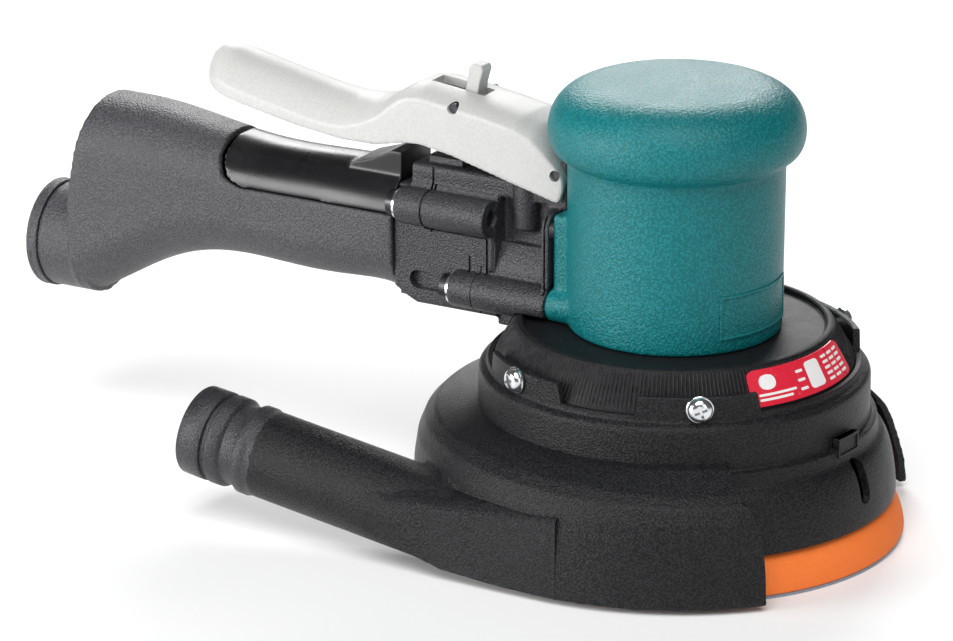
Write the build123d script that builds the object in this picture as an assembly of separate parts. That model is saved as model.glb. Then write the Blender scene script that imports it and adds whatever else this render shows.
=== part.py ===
"""Two-hand, air-driven, gear-driven orbital sander with a central-vacuum shroud.

Millimetres. +Z is up, the pad's abrasive face is at z = 0 and the motor axis is the Z axis.
The handle points along -X and the vacuum spigot runs beside it on the -Y side.
"""
from build123d import *
import math
import os

# --- working clearances -------------------------------------------------------
RUNNING = 0.05          # radial gap of a pin or shaft that turns in its bore
SEAT_GAP = 0.2          # gap of a part that drops into its place
AIR_GAP = 1.0           # gap between a moving face and a fixed one

# --- pad and orbit ------------------------------------------------------------
PAD_R = 76.2            # six-inch pad
HOOK_T = 1.2
HOOK_INSET = 0.4
FOAM_TOP_Z = 13.4
FOAM_TOP_R = PAD_R - 4.2
PAD_HOLE_R = 9.0
PLATE_T = 2.4
PLATE_R = FOAM_TOP_R - 8.0
PAD_HUB_R = 13.0
PAD_HUB_H = 6.0
ORBIT = 2.4             # eccentricity of the crank
RING_TEETH = 48
ORBIT_TEETH = 44
GEAR_Z = FOAM_TOP_Z + PLATE_T + PAD_HUB_H + 8.2
GEAR_T = 8.0
TOOTH_ADDENDUM = 0.45
TOOTH_DEDENDUM = 0.75
TOOTH_BACKLASH = 0.3
FLANK_ANGLE = 25.0
SPINDLE_BOSS_R = 9.0
PAD_SCREW_R = 3.0
PAD_SCREW_HEAD_R = 6.5
PAD_SCREW_HEAD_H = 3.6

# --- bearings and shafts ------------------------------------------------------
SHAFT_R = 4.0
BEARING_R = 11.0
BEARING_T = 7.0
CRANK_R = BEARING_R + 7.0
CRANK_BOTTOM_Z = GEAR_Z + GEAR_T + 2.0
CRANK_TOP_Z = CRANK_BOTTOM_Z + 2 * BEARING_T + 4.0
COUNTERWEIGHT_R = CRANK_R + 12.0
COUNTERWEIGHT_T = 9.0

# --- motor --------------------------------------------------------------------
MOTOR_BOTTOM_Z = CRANK_TOP_Z + 13.2
LOWER_PLATE_T = 8.8
ROTOR_LENGTH = 32.0
UPPER_PLATE_T = 12.0
LINER_R = 30.0
LINER_BORE_R = LINER_R - 6.5
LINER_OFFSET = 3.0
ROTOR_R = LINER_BORE_R - LINER_OFFSET - 0.5
VANES = 5
VANE_T = 1.6
VANE_DEPTH = 8.0
MOTOR_WALL = 2.2

# --- palm housing -------------------------------------------------------------
HOUSING_WALL = 3.4
HOUSING_BASE_R = LINER_R + MOTOR_WALL + 2 * SEAT_GAP + HOUSING_WALL
HOUSING_R = HOUSING_BASE_R + 0.4
HOUSING_BOTTOM_Z = MOTOR_BOTTOM_Z - SEAT_GAP
NECK_Z = MOTOR_BOTTOM_Z + LOWER_PLATE_T + ROTOR_LENGTH + UPPER_PLATE_T + MOTOR_WALL + 4.8
HEAD_R = HOUSING_R + 6.7
HEAD_MID_Z = NECK_Z + 8.4
HEAD_TOP_Z = HEAD_MID_Z + 15.4
HEAD_FLAT_R = HEAD_R - 22.1
SADDLE_X = -HOUSING_BASE_R - 1.0    # flat face that the valve body bolts to
SADDLE_HALF_W = 19.0
TEAR_BOSS_R = 7.0
TEAR_BOSS_X = SADDLE_X - 4.0
SADDLE_LOW_Z = HOUSING_BOTTOM_Z + 2.0
SADDLE_TOP_Z = 108.0

# --- gear case ----------------------------------------------------------------
SHROUD_WALL = 2.4
SHROUD_FOOT_R = PAD_R - 1.0
SHROUD_HIP_R = SHROUD_FOOT_R - 4.2
SHROUD_BAND_R = SHROUD_HIP_R - 2.6
COLLAR_R = SHROUD_BAND_R - 2.4
TAB_R = COLLAR_R - 3.0
CASE_DECK_Z = MOTOR_BOTTOM_Z - 2 * SEAT_GAP
CASE_DECK_T = 4.8
CASE_TOP_Z = CASE_DECK_Z + 1.8
CASE_CONE_Z = CASE_TOP_Z - 12.6
CASE_FOOT_Z = CASE_CONE_Z - 10.0
CASE_RIM_R = TAB_R - SHROUD_WALL - SEAT_GAP
CASE_TOP_R = CASE_RIM_R - 7.4
CASE_DECK_R = CASE_TOP_R - 2.5
CASE_SKIRT_R = CASE_RIM_R - 4.4
RING_GEAR_R = ORBIT * RING_TEETH / (RING_TEETH - ORBIT_TEETH) + 5.2
CASE_SLEEVE_R = RING_GEAR_R + 4.0
CASE_SLEEVE_Z = GEAR_Z - 1.4
DUST_COVER_T = 1.6

# --- shroud -------------------------------------------------------------------
SHROUD_FOOT_Z = FOAM_TOP_Z + AIR_GAP
SHROUD_HIP_Z = 34.0
SHROUD_BAND_Z = SHROUD_HIP_Z + 6.5
SCREW_Z = CASE_CONE_Z + 2.6
COLLAR_TOP_Z = SCREW_Z - 6.2
TAB_TOP_Z = SCREW_Z + 3.8
TAB_DIP_Z = SCREW_Z - 3.0
TAB_HALF_ANGLE = 19.0
SCREW_AZIMUTHS = (-54.5, -117.5, 54.5, 117.5)
SCREW_R = 2.0
SCREW_HEAD_R = 4.2
SCREW_HEAD_H = 2.6
WASHER_R = 4.6
WASHER_T = 0.9
SLOT_AZIMUTHS = (-3.0, -93.0, 87.0, 177.0)
SLOT_Z = 29.0
SLOT_H = 15.0
SLOT_W = 6.0

# --- outer skirt and vacuum spigot ----------------------------------------------
SKIRT_R = PAD_R + 12.0
SKIRT_FOOT_Z = 2.0
SKIRT_HIP_Z = 27.0
SKIRT_HIP_R = SKIRT_R - 1.6
SKIRT_SHOULDER_Z = SHROUD_BAND_Z - 1.0
SKIRT_SHOULDER_R = SKIRT_R - 8.7
SKIRT_TOP_Z = SHROUD_BAND_Z + 4.0
SKIRT_WALL = 2.5
SKIRT_FROM = 52.0       # azimuth where the skirt starts
SKIRT_SWEEP = 266.0
SPIGOT_R = 15.0
SPIGOT_BORE_R = SPIGOT_R - 2.6
SPIGOT_SOCKET = 60.0      # depth of the bore before it steps down to the duct
SPIGOT_DUCT_R = SPIGOT_BORE_R - 0.8
SPIGOT_Y = SPIGOT_R + 1.2 - SKIRT_R
SPIGOT_END_X = -143.5
SPIGOT_END_Z = 29.7
SPIGOT_SLOPE = 8.6      # degrees, rising towards its free end
SPIGOT_ROOT_X = 3.0
BARB_R = SPIGOT_R + 0.6
BARB_ROOT_R = SPIGOT_R - 1.0
BARB_PITCH = 9.0
BARB_W = 4.6
BARBS = 3

# --- handle -------------------------------------------------------------------
HANDLE_FRONT_X = SADDLE_X - 63.0
HANDLE_LENGTH = 131.5
HANDLE_REAR_X = HANDLE_FRONT_X - HANDLE_LENGTH
HANDLE_REAR_TOP_X = HANDLE_REAR_X + 7.0
HANDLE_STATIONS = (     # share of the length, bottom z, top z, half width
    (0.0, 67.5, 112.0, 18.0),
    (0.228, 68.5, 112.0, 17.5),
    (0.456, 69.5, 112.2, 17.5),
    (0.578, 69.0, 114.0, 18.2),
    (0.715, 64.5, 116.8, 19.2),
    (0.852, 55.5, 118.4, 20.0),
    (1.004, 45.0, 119.0, 20.5),
)
HANDLE_WALL = 2.6
CORE_LOW_Z = 97.5
CORE_END_X = HANDLE_FRONT_X - 0.54 * HANDLE_LENGTH
HORN_TOP_Z = 118.2
HORN_HALF_W = 10.5
PIPE_Z = 96.0
PIPE_R = 8.0
PIPE_BORE_R = 5.0
INLET_BORE_R = 5.9      # quarter-inch pipe thread
INLET_BUSHING_R = INLET_BORE_R + 2.7
INLET_BOSS_R = INLET_BUSHING_R + 2.4
INLET_END_X = HANDLE_REAR_X - 1.5
INLET_DEPTH = 17.0
EXHAUST_Z = 63.3
EXHAUST_BORE_R = 16.2
EXHAUST_R = EXHAUST_BORE_R + 2.4
EXHAUST_END_X = HANDLE_REAR_X - 14.5
EXHAUST_SOCKET_X = EXHAUST_END_X + 6.0    # the bore narrows here to seat the silencer
EXHAUST_ROOT_X = HANDLE_REAR_X + 4.0
SILENCER_R = EXHAUST_BORE_R - 1.2
EXHAUST_RING_R = EXHAUST_R + 0.6
EXHAUST_RING_T = 4.3
SILENCER_T = 12.0

# --- valve body ---------------------------------------------------------------
BOLT_R = 2.5
BODY_HALF_W = 16.0
BODY_LOW_Z = 64.0
BODY_MID_Z = 108.0
BODY_BELLY_Z = BODY_LOW_Z + 3.4      # underside between the heel and the foot
BODY_HEEL = (8.7, 5.0)               # length and height of the slope at the rear
BODY_FOOT_X = SADDLE_X - 21.0
DECK_HALF_W = 12.4
DECK_Z = 116.0
LEDGE_Z = 118.6
LEDGE_X = (SADDLE_X - 53.0, SADDLE_X - 39.5)
DECK_BACK_X = SADDLE_X - 58.0
FLANGE_T = 3.0
FLANGE_HALF_W = 21.0
BOSS_Y = 17.5
UPPER_BOSS_Z = 102.4
UPPER_BOSS_R = BOLT_R + 3.9
UPPER_BOSS_X = (SADDLE_X - 59.0, SADDLE_X - 24.0)
LOWER_BOSS_Z = 76.0
LOWER_BOSS_R = BOLT_R + 3.7
LOWER_BOSS_X = (SADDLE_X - 38.0, TEAR_BOSS_X - SEAT_GAP)
BOLT_HEAD_R = BOLT_R + 2.1
BOLT_HEAD_H = 3.0
BOLT_WASHER_R = BOLT_HEAD_R + 0.8
BOLT_WASHER_T = 1.0
BOLT_GRIP = 7.5         # thread that runs into the housing's bosses
VALVE_X = SADDLE_X - 15.0
CHAMBER_R = 6.5
SEAT_Z = 101.5
SEAT_T = 2.5
STEM_R = 1.6
SEAT_BORE_R = STEM_R + 2.0
POPPET_R = SEAT_BORE_R + 1.4
POPPET_T = 3.2
BUTTON_R = 4.0
BUTTON_Z = 120.6
GUIDE_R = STEM_R + 3.4
GUIDE_Z = 109.8
GUIDE_TOP_Z = 117.4
OUTLET_Z = 107.0
OUTLET_R = 2.6
PLUG_LOW_Z = 73.2
PLUG_T = 5.0
PLUG_KEY_R = 3.0
SPRING_WIRE_R = 0.45
SPRING_R = 3.4
SPRING_PITCH = 4.0

# --- throttle lever and lock-off lever -----------------------------------------
PIVOT_X = SADDLE_X - 1.0
PIVOT_Z = 120.5
PIVOT_R = 1.5
LEVER_INNER_W = DECK_HALF_W + 0.5
LEVER_HALF_W = LEVER_INNER_W + 2.6
LEVER_RIB_T = 4.0
LEVER_RIB_Z = 128.0
BRACKET_FRONT_X = SADDLE_X + 2.2
BRACKET_BACK_X = PIVOT_X - 5.0
BRACKET_TOP_Z = 124.5
LOCK_X = SADDLE_X - 40.5
LOCK_Z = 138.0
LOCK_PIN_R = 1.5
LOCK_HALF_W = 3.2
LOCK_LEG_HALF_T = 1.6
LOCK_TIP_Z = 120.2
LOCK_TAB_TOP_Z = 151.0
LOCK_SLOT_X = (LOCK_X - 14.5, LOCK_X + 6.0)
LOCK_SLOT_HALF_W = LOCK_HALF_W + 0.8

# --- label --------------------------------------------------------------------
LABEL_FROM = -37.0
LABEL_SWEEP = 50.0
LABEL_T = 0.5


# --- plain shapes ---------------------------------------------------------------
def rod_z(radius, low, high, x=0.0, y=0.0):
    """A cylinder along Z between two heights."""
    return Pos(x, y, (low + high) / 2) * Cylinder(radius, high - low)


def rod_x(radius, low, high, y=0.0, z=0.0):
    """A cylinder along X between two x values."""
    return Pos((low + high) / 2, y, z) * Rot(0, 90, 0) * Cylinder(radius, high - low)


def rod_y(radius, half_length, x, z):
    """A cylinder along Y, centred on the handle's mid plane."""
    return Pos(x, 0, z) * Rot(90, 0, 0) * Cylinder(radius, 2 * half_length)


def block(x_span, y_span, z_span):
    """A box from its three spans."""
    centre = [(span[0] + span[1]) / 2 for span in (x_span, y_span, z_span)]
    size = [span[1] - span[0] for span in (x_span, y_span, z_span)]
    return Pos(*centre) * Box(*size)


def turned(points, start=0.0, sweep=360.0, x=0.0):
    """A solid of revolution about Z from (radius, height) points."""
    face = Plane.XZ * make_face(Polyline(*points, close=True))
    solid = revolve(face, Axis.Z, sweep)
    return Pos(x, 0, 0) * Rot(0, 0, start) * solid


def side_plate(points, half_width):
    """A polygon in the XZ plane, thickened to both sides of the mid plane."""
    face = Plane.XZ * make_face(Polyline(*points, close=True))
    return extrude(face, half_width, both=True)


def radial(shape, azimuth):
    """Turns a shape made along +X to an azimuth about Z."""
    return Rot(0, 0, azimuth) * shape


def group(shapes):
    """Separate solids that share one node."""
    return Compound(children=[solid for shape in shapes for solid in shape.solids()])


# --- pad --------------------------------------------------------------------------
def hook_face():
    return rod_z(PAD_R - HOOK_INSET, 0, HOOK_T, ORBIT)


def foam_pad():
    waist_z = HOOK_T + 4.0
    points = [
        (PAD_HOLE_R, HOOK_T),
        (PAD_R, HOOK_T),
        (PAD_R - 0.5, waist_z),
        (FOAM_TOP_R, FOAM_TOP_Z),
        (PAD_HOLE_R, FOAM_TOP_Z),
    ]
    return turned(points, x=ORBIT)


PLATE_TOP_Z = FOAM_TOP_Z + PLATE_T
HUB_TOP_Z = PLATE_TOP_Z + PAD_HUB_H


def backing_plate():
    plate = rod_z(PLATE_R, FOAM_TOP_Z, PLATE_TOP_Z)
    hub = rod_z(PAD_HUB_R, PLATE_TOP_Z, HUB_TOP_Z)
    for index in range(6):
        rib = block((PAD_HUB_R - 2, PLATE_R - 8), (-1.2, 1.2), (PLATE_TOP_Z - 1, PLATE_TOP_Z + 2.2))
        hub += radial(rib, index * 60)
    solid = plate + hub - rod_z(PAD_SCREW_R + SEAT_GAP, FOAM_TOP_Z - 1, HUB_TOP_Z + 1)
    return Pos(ORBIT, 0, 0) * solid


def pad_screw():
    shank_top = GEAR_Z + 4.0
    head = rod_z(PAD_SCREW_HEAD_R, FOAM_TOP_Z - PAD_SCREW_HEAD_H, FOAM_TOP_Z)
    head -= extrude(Pos(0, 0, FOAM_TOP_Z - PAD_SCREW_HEAD_H) * RegularPolygon(2.9, 6), 2.0)
    shank = rod_z(PAD_SCREW_R, FOAM_TOP_Z, shank_top)
    return Pos(ORBIT, 0, 0) * (head + shank)


def tooth_points(teeth, pitch_r, tip_r, root_r, thickness, phase):
    """Straight-flanked teeth round a circle, as a closed outline."""
    pitch_angle = 360.0 / teeth
    slope = math.tan(math.radians(FLANK_ANGLE))
    half_tip = math.degrees((thickness / 2 - abs(tip_r - pitch_r) * slope) / tip_r)
    half_root = math.degrees((thickness / 2 + abs(root_r - pitch_r) * slope) / root_r)
    points = []
    for index in range(teeth):
        middle = phase + index * pitch_angle
        for radius, offset in ((root_r, -half_root), (tip_r, -half_tip), (tip_r, half_tip), (root_r, half_root)):
            angle = math.radians(middle + offset)
            points.append((radius * math.cos(angle), radius * math.sin(angle)))
    return points


GEAR_MODULE = 2 * ORBIT / (RING_TEETH - ORBIT_TEETH)
RING_PITCH_R = GEAR_MODULE * RING_TEETH / 2
ORBIT_PITCH_R = GEAR_MODULE * ORBIT_TEETH / 2
HALF_PITCH = math.pi * GEAR_MODULE / 2


def orbit_gear():
    outline = tooth_points(
        ORBIT_TEETH,
        ORBIT_PITCH_R,
        ORBIT_PITCH_R + TOOTH_ADDENDUM,
        ORBIT_PITCH_R - TOOTH_DEDENDUM,
        HALF_PITCH - TOOTH_BACKLASH,
        0.0,
    )
    disc = extrude(Pos(0, 0, GEAR_Z) * make_face(Polyline(*outline, close=True)), GEAR_T)
    disc -= rod_z(SPINDLE_BOSS_R, GEAR_Z - 1, GEAR_Z + GEAR_T + 1)
    for index in range(6):
        disc -= rod_z(4.0, GEAR_Z - 1, GEAR_Z + GEAR_T + 1, *polar(16.5, index * 60 + 30))
    return Pos(ORBIT, 0, 0) * disc


def polar(radius, azimuth):
    """x and y of a point at a radius and azimuth."""
    angle = math.radians(azimuth)
    return radius * math.cos(angle), radius * math.sin(angle)


def ring_gear():
    gaps = tooth_points(
        RING_TEETH,
        RING_PITCH_R,
        RING_PITCH_R + TOOTH_DEDENDUM,
        RING_PITCH_R - TOOTH_ADDENDUM,
        HALF_PITCH,
        0.0,
    )
    bore = extrude(Pos(0, 0, GEAR_Z - 1) * make_face(Polyline(*gaps, close=True)), GEAR_T + 2)
    return rod_z(RING_GEAR_R, GEAR_Z, GEAR_Z + GEAR_T) - bore


def spindle():
    top = SPINDLE_BEARING_LOW_Z + 2 * BEARING_T + 1.0
    shaft = rod_z(SHAFT_R, GEAR_Z, top)
    boss = rod_z(SPINDLE_BOSS_R, HUB_TOP_Z, GEAR_Z + GEAR_T)
    bore = rod_z(PAD_SCREW_R, HUB_TOP_Z - 1, GEAR_Z + 5.0)
    return Pos(ORBIT, 0, 0) * (shaft + boss - bore)


SPINDLE_BEARING_LOW_Z = CRANK_BOTTOM_Z + 1.0


def bearing(low_z, x=0.0):
    """A sealed ball bearing as one ring with shield grooves on both faces."""
    inner = SHAFT_R + RUNNING
    ring = rod_z(BEARING_R, low_z, low_z + BEARING_T) - rod_z(inner, low_z - 1, low_z + BEARING_T + 1)
    groove = 0.5
    for z in (low_z, low_z + BEARING_T):
        cut = rod_z(BEARING_R - 2.2, z - groove, z + groove) - rod_z(SHAFT_R + 2.0, z - 1, z + 1)
        ring -= cut
    return Pos(x, 0, 0) * ring


def spindle_bearings():
    return group(bearing(SPINDLE_BEARING_LOW_Z + index * BEARING_T, ORBIT) for index in range(2))


# --- crank and motor ------------------------------------------------------------------
LOWER_PLATE_TOP_Z = MOTOR_BOTTOM_Z + LOWER_PLATE_T
ROTOR_TOP_Z = LOWER_PLATE_TOP_Z + ROTOR_LENGTH
MOTOR_TOP_Z = ROTOR_TOP_Z + UPPER_PLATE_T
LOWER_BEARING_Z = MOTOR_BOTTOM_Z + 0.8
UPPER_BEARING_Z = ROTOR_TOP_Z + 2.0


def crank_shaft():
    head = rod_z(CRANK_R, CRANK_BOTTOM_Z, CRANK_TOP_Z)
    head -= rod_z(BEARING_R, CRANK_BOTTOM_Z - 1, SPINDLE_BEARING_LOW_Z + 2 * BEARING_T, ORBIT)
    head -= rod_z(SHAFT_R + AIR_GAP, CRANK_BOTTOM_Z - 1, CRANK_TOP_Z - 1.2, ORBIT)
    shaft = rod_z(SHAFT_R, CRANK_TOP_Z, UPPER_BEARING_Z + BEARING_T)
    shoulder = rod_z(SHAFT_R + 2, CRANK_TOP_Z, CRANK_TOP_Z + 3)
    return head + shaft + shoulder


def counterweight():
    """A half ring clamped round the crank, opposite its eccentric."""
    points = [
        (CRANK_R, CRANK_TOP_Z - COUNTERWEIGHT_T - 2),
        (COUNTERWEIGHT_R, CRANK_TOP_Z - COUNTERWEIGHT_T - 2),
        (COUNTERWEIGHT_R, CRANK_TOP_Z - 2),
        (CRANK_R, CRANK_TOP_Z - 2),
    ]
    return turned(points, start=105, sweep=150)


def rotor():
    low = LOWER_PLATE_TOP_Z + 0.15
    high = ROTOR_TOP_Z - 0.15
    body = rod_z(ROTOR_R, low, high) - rod_z(SHAFT_R, low - 1, high + 1)
    for index in range(VANES):
        slot = block((ROTOR_R - VANE_DEPTH, ROTOR_R + 1), (-VANE_T / 2, VANE_T / 2), (low - 1, high + 1))
        body -= radial(slot, index * 360 / VANES)
    return body


def rotor_vanes():
    low = LOWER_PLATE_TOP_Z + 0.25
    high = ROTOR_TOP_Z - 0.25
    half = VANE_T / 2 - RUNNING
    vane = block((ROTOR_R - VANE_DEPTH + 0.4, ROTOR_R - 0.1), (-half, half), (low, high))
    return group(radial(vane, index * 360 / VANES) for index in range(VANES))


def cylinder_liner():
    ring = rod_z(LINER_R, LOWER_PLATE_TOP_Z, ROTOR_TOP_Z)
    ring -= rod_z(LINER_BORE_R, LOWER_PLATE_TOP_Z - 1, ROTOR_TOP_Z + 1, 0, LINER_OFFSET)
    port = rod_x(OUTLET_R, -LINER_R - 1, 0, 0, OUTLET_Z)
    for index in range(6):
        port += radial(rod_x(1.6, 0, LINER_R + 1, 0, LOWER_PLATE_TOP_Z + 10 + 2 * index), 30)
    return ring - port


def end_plate(low, high, bearing_z):
    plate = rod_z(LINER_R, low, high) - rod_z(SHAFT_R + 1.5, low - 1, high + 1)
    return plate - rod_z(BEARING_R, bearing_z, bearing_z + BEARING_T)


def lower_end_plate():
    plate = end_plate(MOTOR_BOTTOM_Z, LOWER_PLATE_TOP_Z, LOWER_BEARING_Z)
    return plate - rod_z(BEARING_R, MOTOR_BOTTOM_Z - 1, LOWER_BEARING_Z + 1)


def upper_end_plate():
    plate = end_plate(ROTOR_TOP_Z, MOTOR_TOP_Z, UPPER_BEARING_Z)
    return plate - rod_z(BEARING_R, UPPER_BEARING_Z + 1, MOTOR_TOP_Z + 1)


def motor_housing():
    outer_r = LINER_R + MOTOR_WALL
    can = rod_z(outer_r, MOTOR_BOTTOM_Z, MOTOR_TOP_Z + MOTOR_WALL)
    can -= rod_z(LINER_R, MOTOR_BOTTOM_Z - 1, MOTOR_TOP_Z)
    can -= rod_x(OUTLET_R, -outer_r - 1, -LINER_R + 2, 0, OUTLET_Z)
    return can


# --- palm housing ---------------------------------------------------------------------
def palm_profile(inset):
    """Half outline of the palm housing from its foot to its crown."""
    base_r = HOUSING_BASE_R - inset
    neck_r = HOUSING_R - inset
    head_r = HEAD_R - inset
    top_z = HEAD_TOP_Z - inset
    foot_z = HOUSING_BOTTOM_Z - (1 if inset else 0)
    neck_z = NECK_Z + (2 if inset else 0)
    flat_r = HEAD_FLAT_R
    foot = Line((0, foot_z), (base_r, foot_z))
    wall = Line(foot @ 1, (neck_r, neck_z - 2))
    under = ThreePointArc(
        wall @ 1,
        (neck_r + 0.62 * (head_r - neck_r), neck_z + 1.6),
        (head_r, HEAD_MID_Z),
    )
    shoulder_r = head_r - 0.22 * (head_r - flat_r)
    over = ThreePointArc(
        under @ 1,
        (shoulder_r, HEAD_MID_Z + 0.72 * (top_z - HEAD_MID_Z)),
        (flat_r, top_z),
    )
    crown = Line(over @ 1, (0, top_z))
    back = Line(crown @ 1, foot @ 0)
    return make_face(foot + wall + under + over + crown + back)


def palm_housing():
    mount = block((SADDLE_X, -LINER_R), (-SADDLE_HALF_W, SADDLE_HALF_W), (SADDLE_LOW_Z, SADDLE_TOP_Z))
    mount = fillet(mount.edges().filter_by(Axis.X), 4.0)
    for side in (-1, 1):
        mount += rod_x(TEAR_BOSS_R, TEAR_BOSS_X, -LINER_R + 4, side * BOSS_Y, LOWER_BOSS_Z)
    mount -= rod_z(CASE_RIM_R, CASE_FOOT_Z, CASE_TOP_Z + SEAT_GAP)
    shell = revolve(Plane.XZ * palm_profile(0), Axis.Z) + mount
    shell -= revolve(Plane.XZ * palm_profile(HOUSING_WALL), Axis.Z)
    half_bay = DECK_HALF_W + 0.6
    shell -= block((TEAR_BOSS_X, BRACKET_FRONT_X + 0.4), (-half_bay, half_bay), (SADDLE_TOP_Z, NECK_Z - 4))
    shell -= rod_x(OUTLET_R, SADDLE_X - 1, -LINER_R, 0, OUTLET_Z)
    for z in (UPPER_BOSS_Z, LOWER_BOSS_Z):
        for side in (-1, 1):
            shell -= rod_x(BOLT_R, TEAR_BOSS_X - 1, BOLT_TIP_X, side * BOSS_Y, z)
    return shell


BOLT_TIP_X = SADDLE_X + BOLT_GRIP


# --- gear case -----------------------------------------------------------------------
def gear_case():
    points = [
        (RING_GEAR_R, CASE_SLEEVE_Z),
        (CASE_SLEEVE_R, CASE_SLEEVE_Z),
        (CASE_SLEEVE_R, CASE_DECK_Z - CASE_DECK_T),
        (CASE_TOP_R - 4, CASE_DECK_Z - CASE_DECK_T),
        (CASE_SKIRT_R, CASE_CONE_Z),
        (CASE_SKIRT_R, CASE_FOOT_Z),
        (CASE_RIM_R, CASE_FOOT_Z),
        (CASE_RIM_R, CASE_CONE_Z),
        (CASE_TOP_R, CASE_TOP_Z),
        (CASE_DECK_R, CASE_TOP_Z),
        (CASE_DECK_R, CASE_DECK_Z),
        (SHAFT_R + 3, CASE_DECK_Z),
        (SHAFT_R + 3, CASE_DECK_Z - CASE_DECK_T),
        (RING_GEAR_R, CASE_DECK_Z - CASE_DECK_T),
    ]
    case = turned(points)
    for azimuth in SCREW_AZIMUTHS:
        case -= radial(rod_x(SCREW_R, CASE_SKIRT_R - 4, CASE_RIM_R + 4, 0, SCREW_Z), azimuth)
    return case


def dust_cover():
    low = CASE_SLEEVE_Z - DUST_COVER_T
    hole_r = SPINDLE_BOSS_R + ORBIT + AIR_GAP
    return rod_z(CASE_SLEEVE_R, low, CASE_SLEEVE_Z) - rod_z(hole_r, low - 1, CASE_SLEEVE_Z + 1)


def label_plate():
    """A thin curved plate on the case's cone."""
    slope = (CASE_RIM_R - CASE_TOP_R) / (CASE_TOP_Z - CASE_CONE_Z)
    low_z = CASE_CONE_Z - 0.4
    high_z = CASE_TOP_Z - 1.4
    low_r = CASE_RIM_R
    high_r = CASE_RIM_R - slope * (high_z - CASE_CONE_Z)
    points = [
        (low_r, CASE_CONE_Z),
        (low_r + LABEL_T, low_z + 0.4),
        (high_r + LABEL_T, high_z),
        (high_r, high_z),
    ]
    return turned(points, start=LABEL_FROM, sweep=LABEL_SWEEP)


# --- shroud --------------------------------------------------------------------------
def shroud_outline(inset):
    """Outer line of the inner shroud from its foot up to its tabs, moved inwards."""
    return [
        (SHROUD_FOOT_R - inset, SHROUD_FOOT_Z),
        (SHROUD_HIP_R - inset, SHROUD_HIP_Z),
        (SHROUD_BAND_R + 0.8 - inset, SHROUD_HIP_Z + 1.4),
        (SHROUD_BAND_R - inset, SHROUD_BAND_Z),
        (COLLAR_R - inset, SHROUD_BAND_Z + 1.0),
        (COLLAR_R - inset, COLLAR_TOP_Z),
        (TAB_R - inset, COLLAR_TOP_Z + 1.4),
        (TAB_R - inset, TAB_TOP_Z),
    ]


def inner_shroud():
    outer = shroud_outline(0)
    inner = shroud_outline(SHROUD_WALL)
    shell = turned(outer + inner[::-1])
    spans = []
    azimuths = sorted(SCREW_AZIMUTHS)
    for index, azimuth in enumerate(azimuths):
        following = azimuths[(index + 1) % len(azimuths)]
        start = azimuth + TAB_HALF_ANGLE
        sweep = (following - azimuth) % 360 - 2 * TAB_HALF_ANGLE
        spans.append((start, sweep))
    window = [
        (TAB_R - SHROUD_WALL - 2, TAB_DIP_Z),
        (TAB_R + 2, TAB_DIP_Z),
        (TAB_R + 2, TAB_TOP_Z + 1),
        (TAB_R - SHROUD_WALL - 2, TAB_TOP_Z + 1),
    ]
    for start, sweep in spans:
        shell -= turned(window, start=start, sweep=sweep)
    for azimuth in SCREW_AZIMUTHS:
        shell -= radial(rod_x(SCREW_R + SEAT_GAP, TAB_R - SHROUD_WALL - 2, TAB_R + 2, 0, SCREW_Z), azimuth)
    for azimuth in SLOT_AZIMUTHS:
        shell -= radial(dust_slot(), azimuth)
    return shell


def dust_slot():
    half = SLOT_H / 2 - SLOT_W / 2
    x_low = SHROUD_HIP_R - SHROUD_WALL - 4
    x_high = SHROUD_FOOT_R + 3
    slot = block((x_low, x_high), (-SLOT_W / 2, SLOT_W / 2), (SLOT_Z - half, SLOT_Z + half))
    for z in (SLOT_Z - half, SLOT_Z + half):
        slot += rod_x(SLOT_W / 2, x_low, x_high, 0, z)
    return slot


def pan_screw():
    """A pan-head screw along +X at azimuth zero, with a cross recess."""
    seat = TAB_R + WASHER_T
    head = rod_x(SCREW_HEAD_R, seat, seat + SCREW_HEAD_H, 0, SCREW_Z)
    head = fillet(head.edges().filter_by(GeomType.CIRCLE).sort_by(Axis.X)[-1], 1.6)
    face_x = seat + SCREW_HEAD_H
    for turn in (0, 90):
        arm = block((face_x - 1.4, face_x + 1), (-2.4, 2.4), (-0.45, 0.45))
        head -= Pos(0, 0, SCREW_Z) * Rot(turn + 20, 0, 0) * arm
    return head + rod_x(SCREW_R, CASE_SKIRT_R + 0.5, seat, 0, SCREW_Z)


def shroud_screws():
    return group(radial(pan_screw(), azimuth) for azimuth in SCREW_AZIMUTHS)


def shroud_washers():
    ring = rod_x(WASHER_R, TAB_R, TAB_R + WASHER_T, 0, SCREW_Z)
    ring -= rod_x(SCREW_R, TAB_R - 1, TAB_R + 3, 0, SCREW_Z)
    return group(radial(ring, azimuth) for azimuth in SCREW_AZIMUTHS)


# --- outer skirt ----------------------------------------------------------------------
def spigot_frame():
    """Local frame at the spigot's free end, with +Z running back towards the skirt."""
    slope = math.radians(SPIGOT_SLOPE)
    direction = (math.cos(slope), 0, -math.sin(slope))
    return Plane(origin=(SPIGOT_END_X, SPIGOT_Y, SPIGOT_END_Z), x_dir=(0, 1, 0), z_dir=direction)


def spigot_rod(radius, start, end):
    """A cylinder on the spigot's axis, by distance from its free end."""
    middle = (start + end) / 2
    return spigot_frame() * Pos(0, 0, middle) * Cylinder(radius, end - start)


SPIGOT_LENGTH = (SPIGOT_ROOT_X - SPIGOT_END_X) / math.cos(math.radians(SPIGOT_SLOPE))


def skirt_line(inset):
    return [
        (SKIRT_R - inset, SKIRT_FOOT_Z),
        (SKIRT_HIP_R - inset, SKIRT_HIP_Z - 0.4 * inset),
        (SKIRT_SHOULDER_R - 0.4 * inset, SKIRT_SHOULDER_Z - inset),
        (SHROUD_BAND_R, SKIRT_TOP_Z - inset),
    ]


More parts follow.
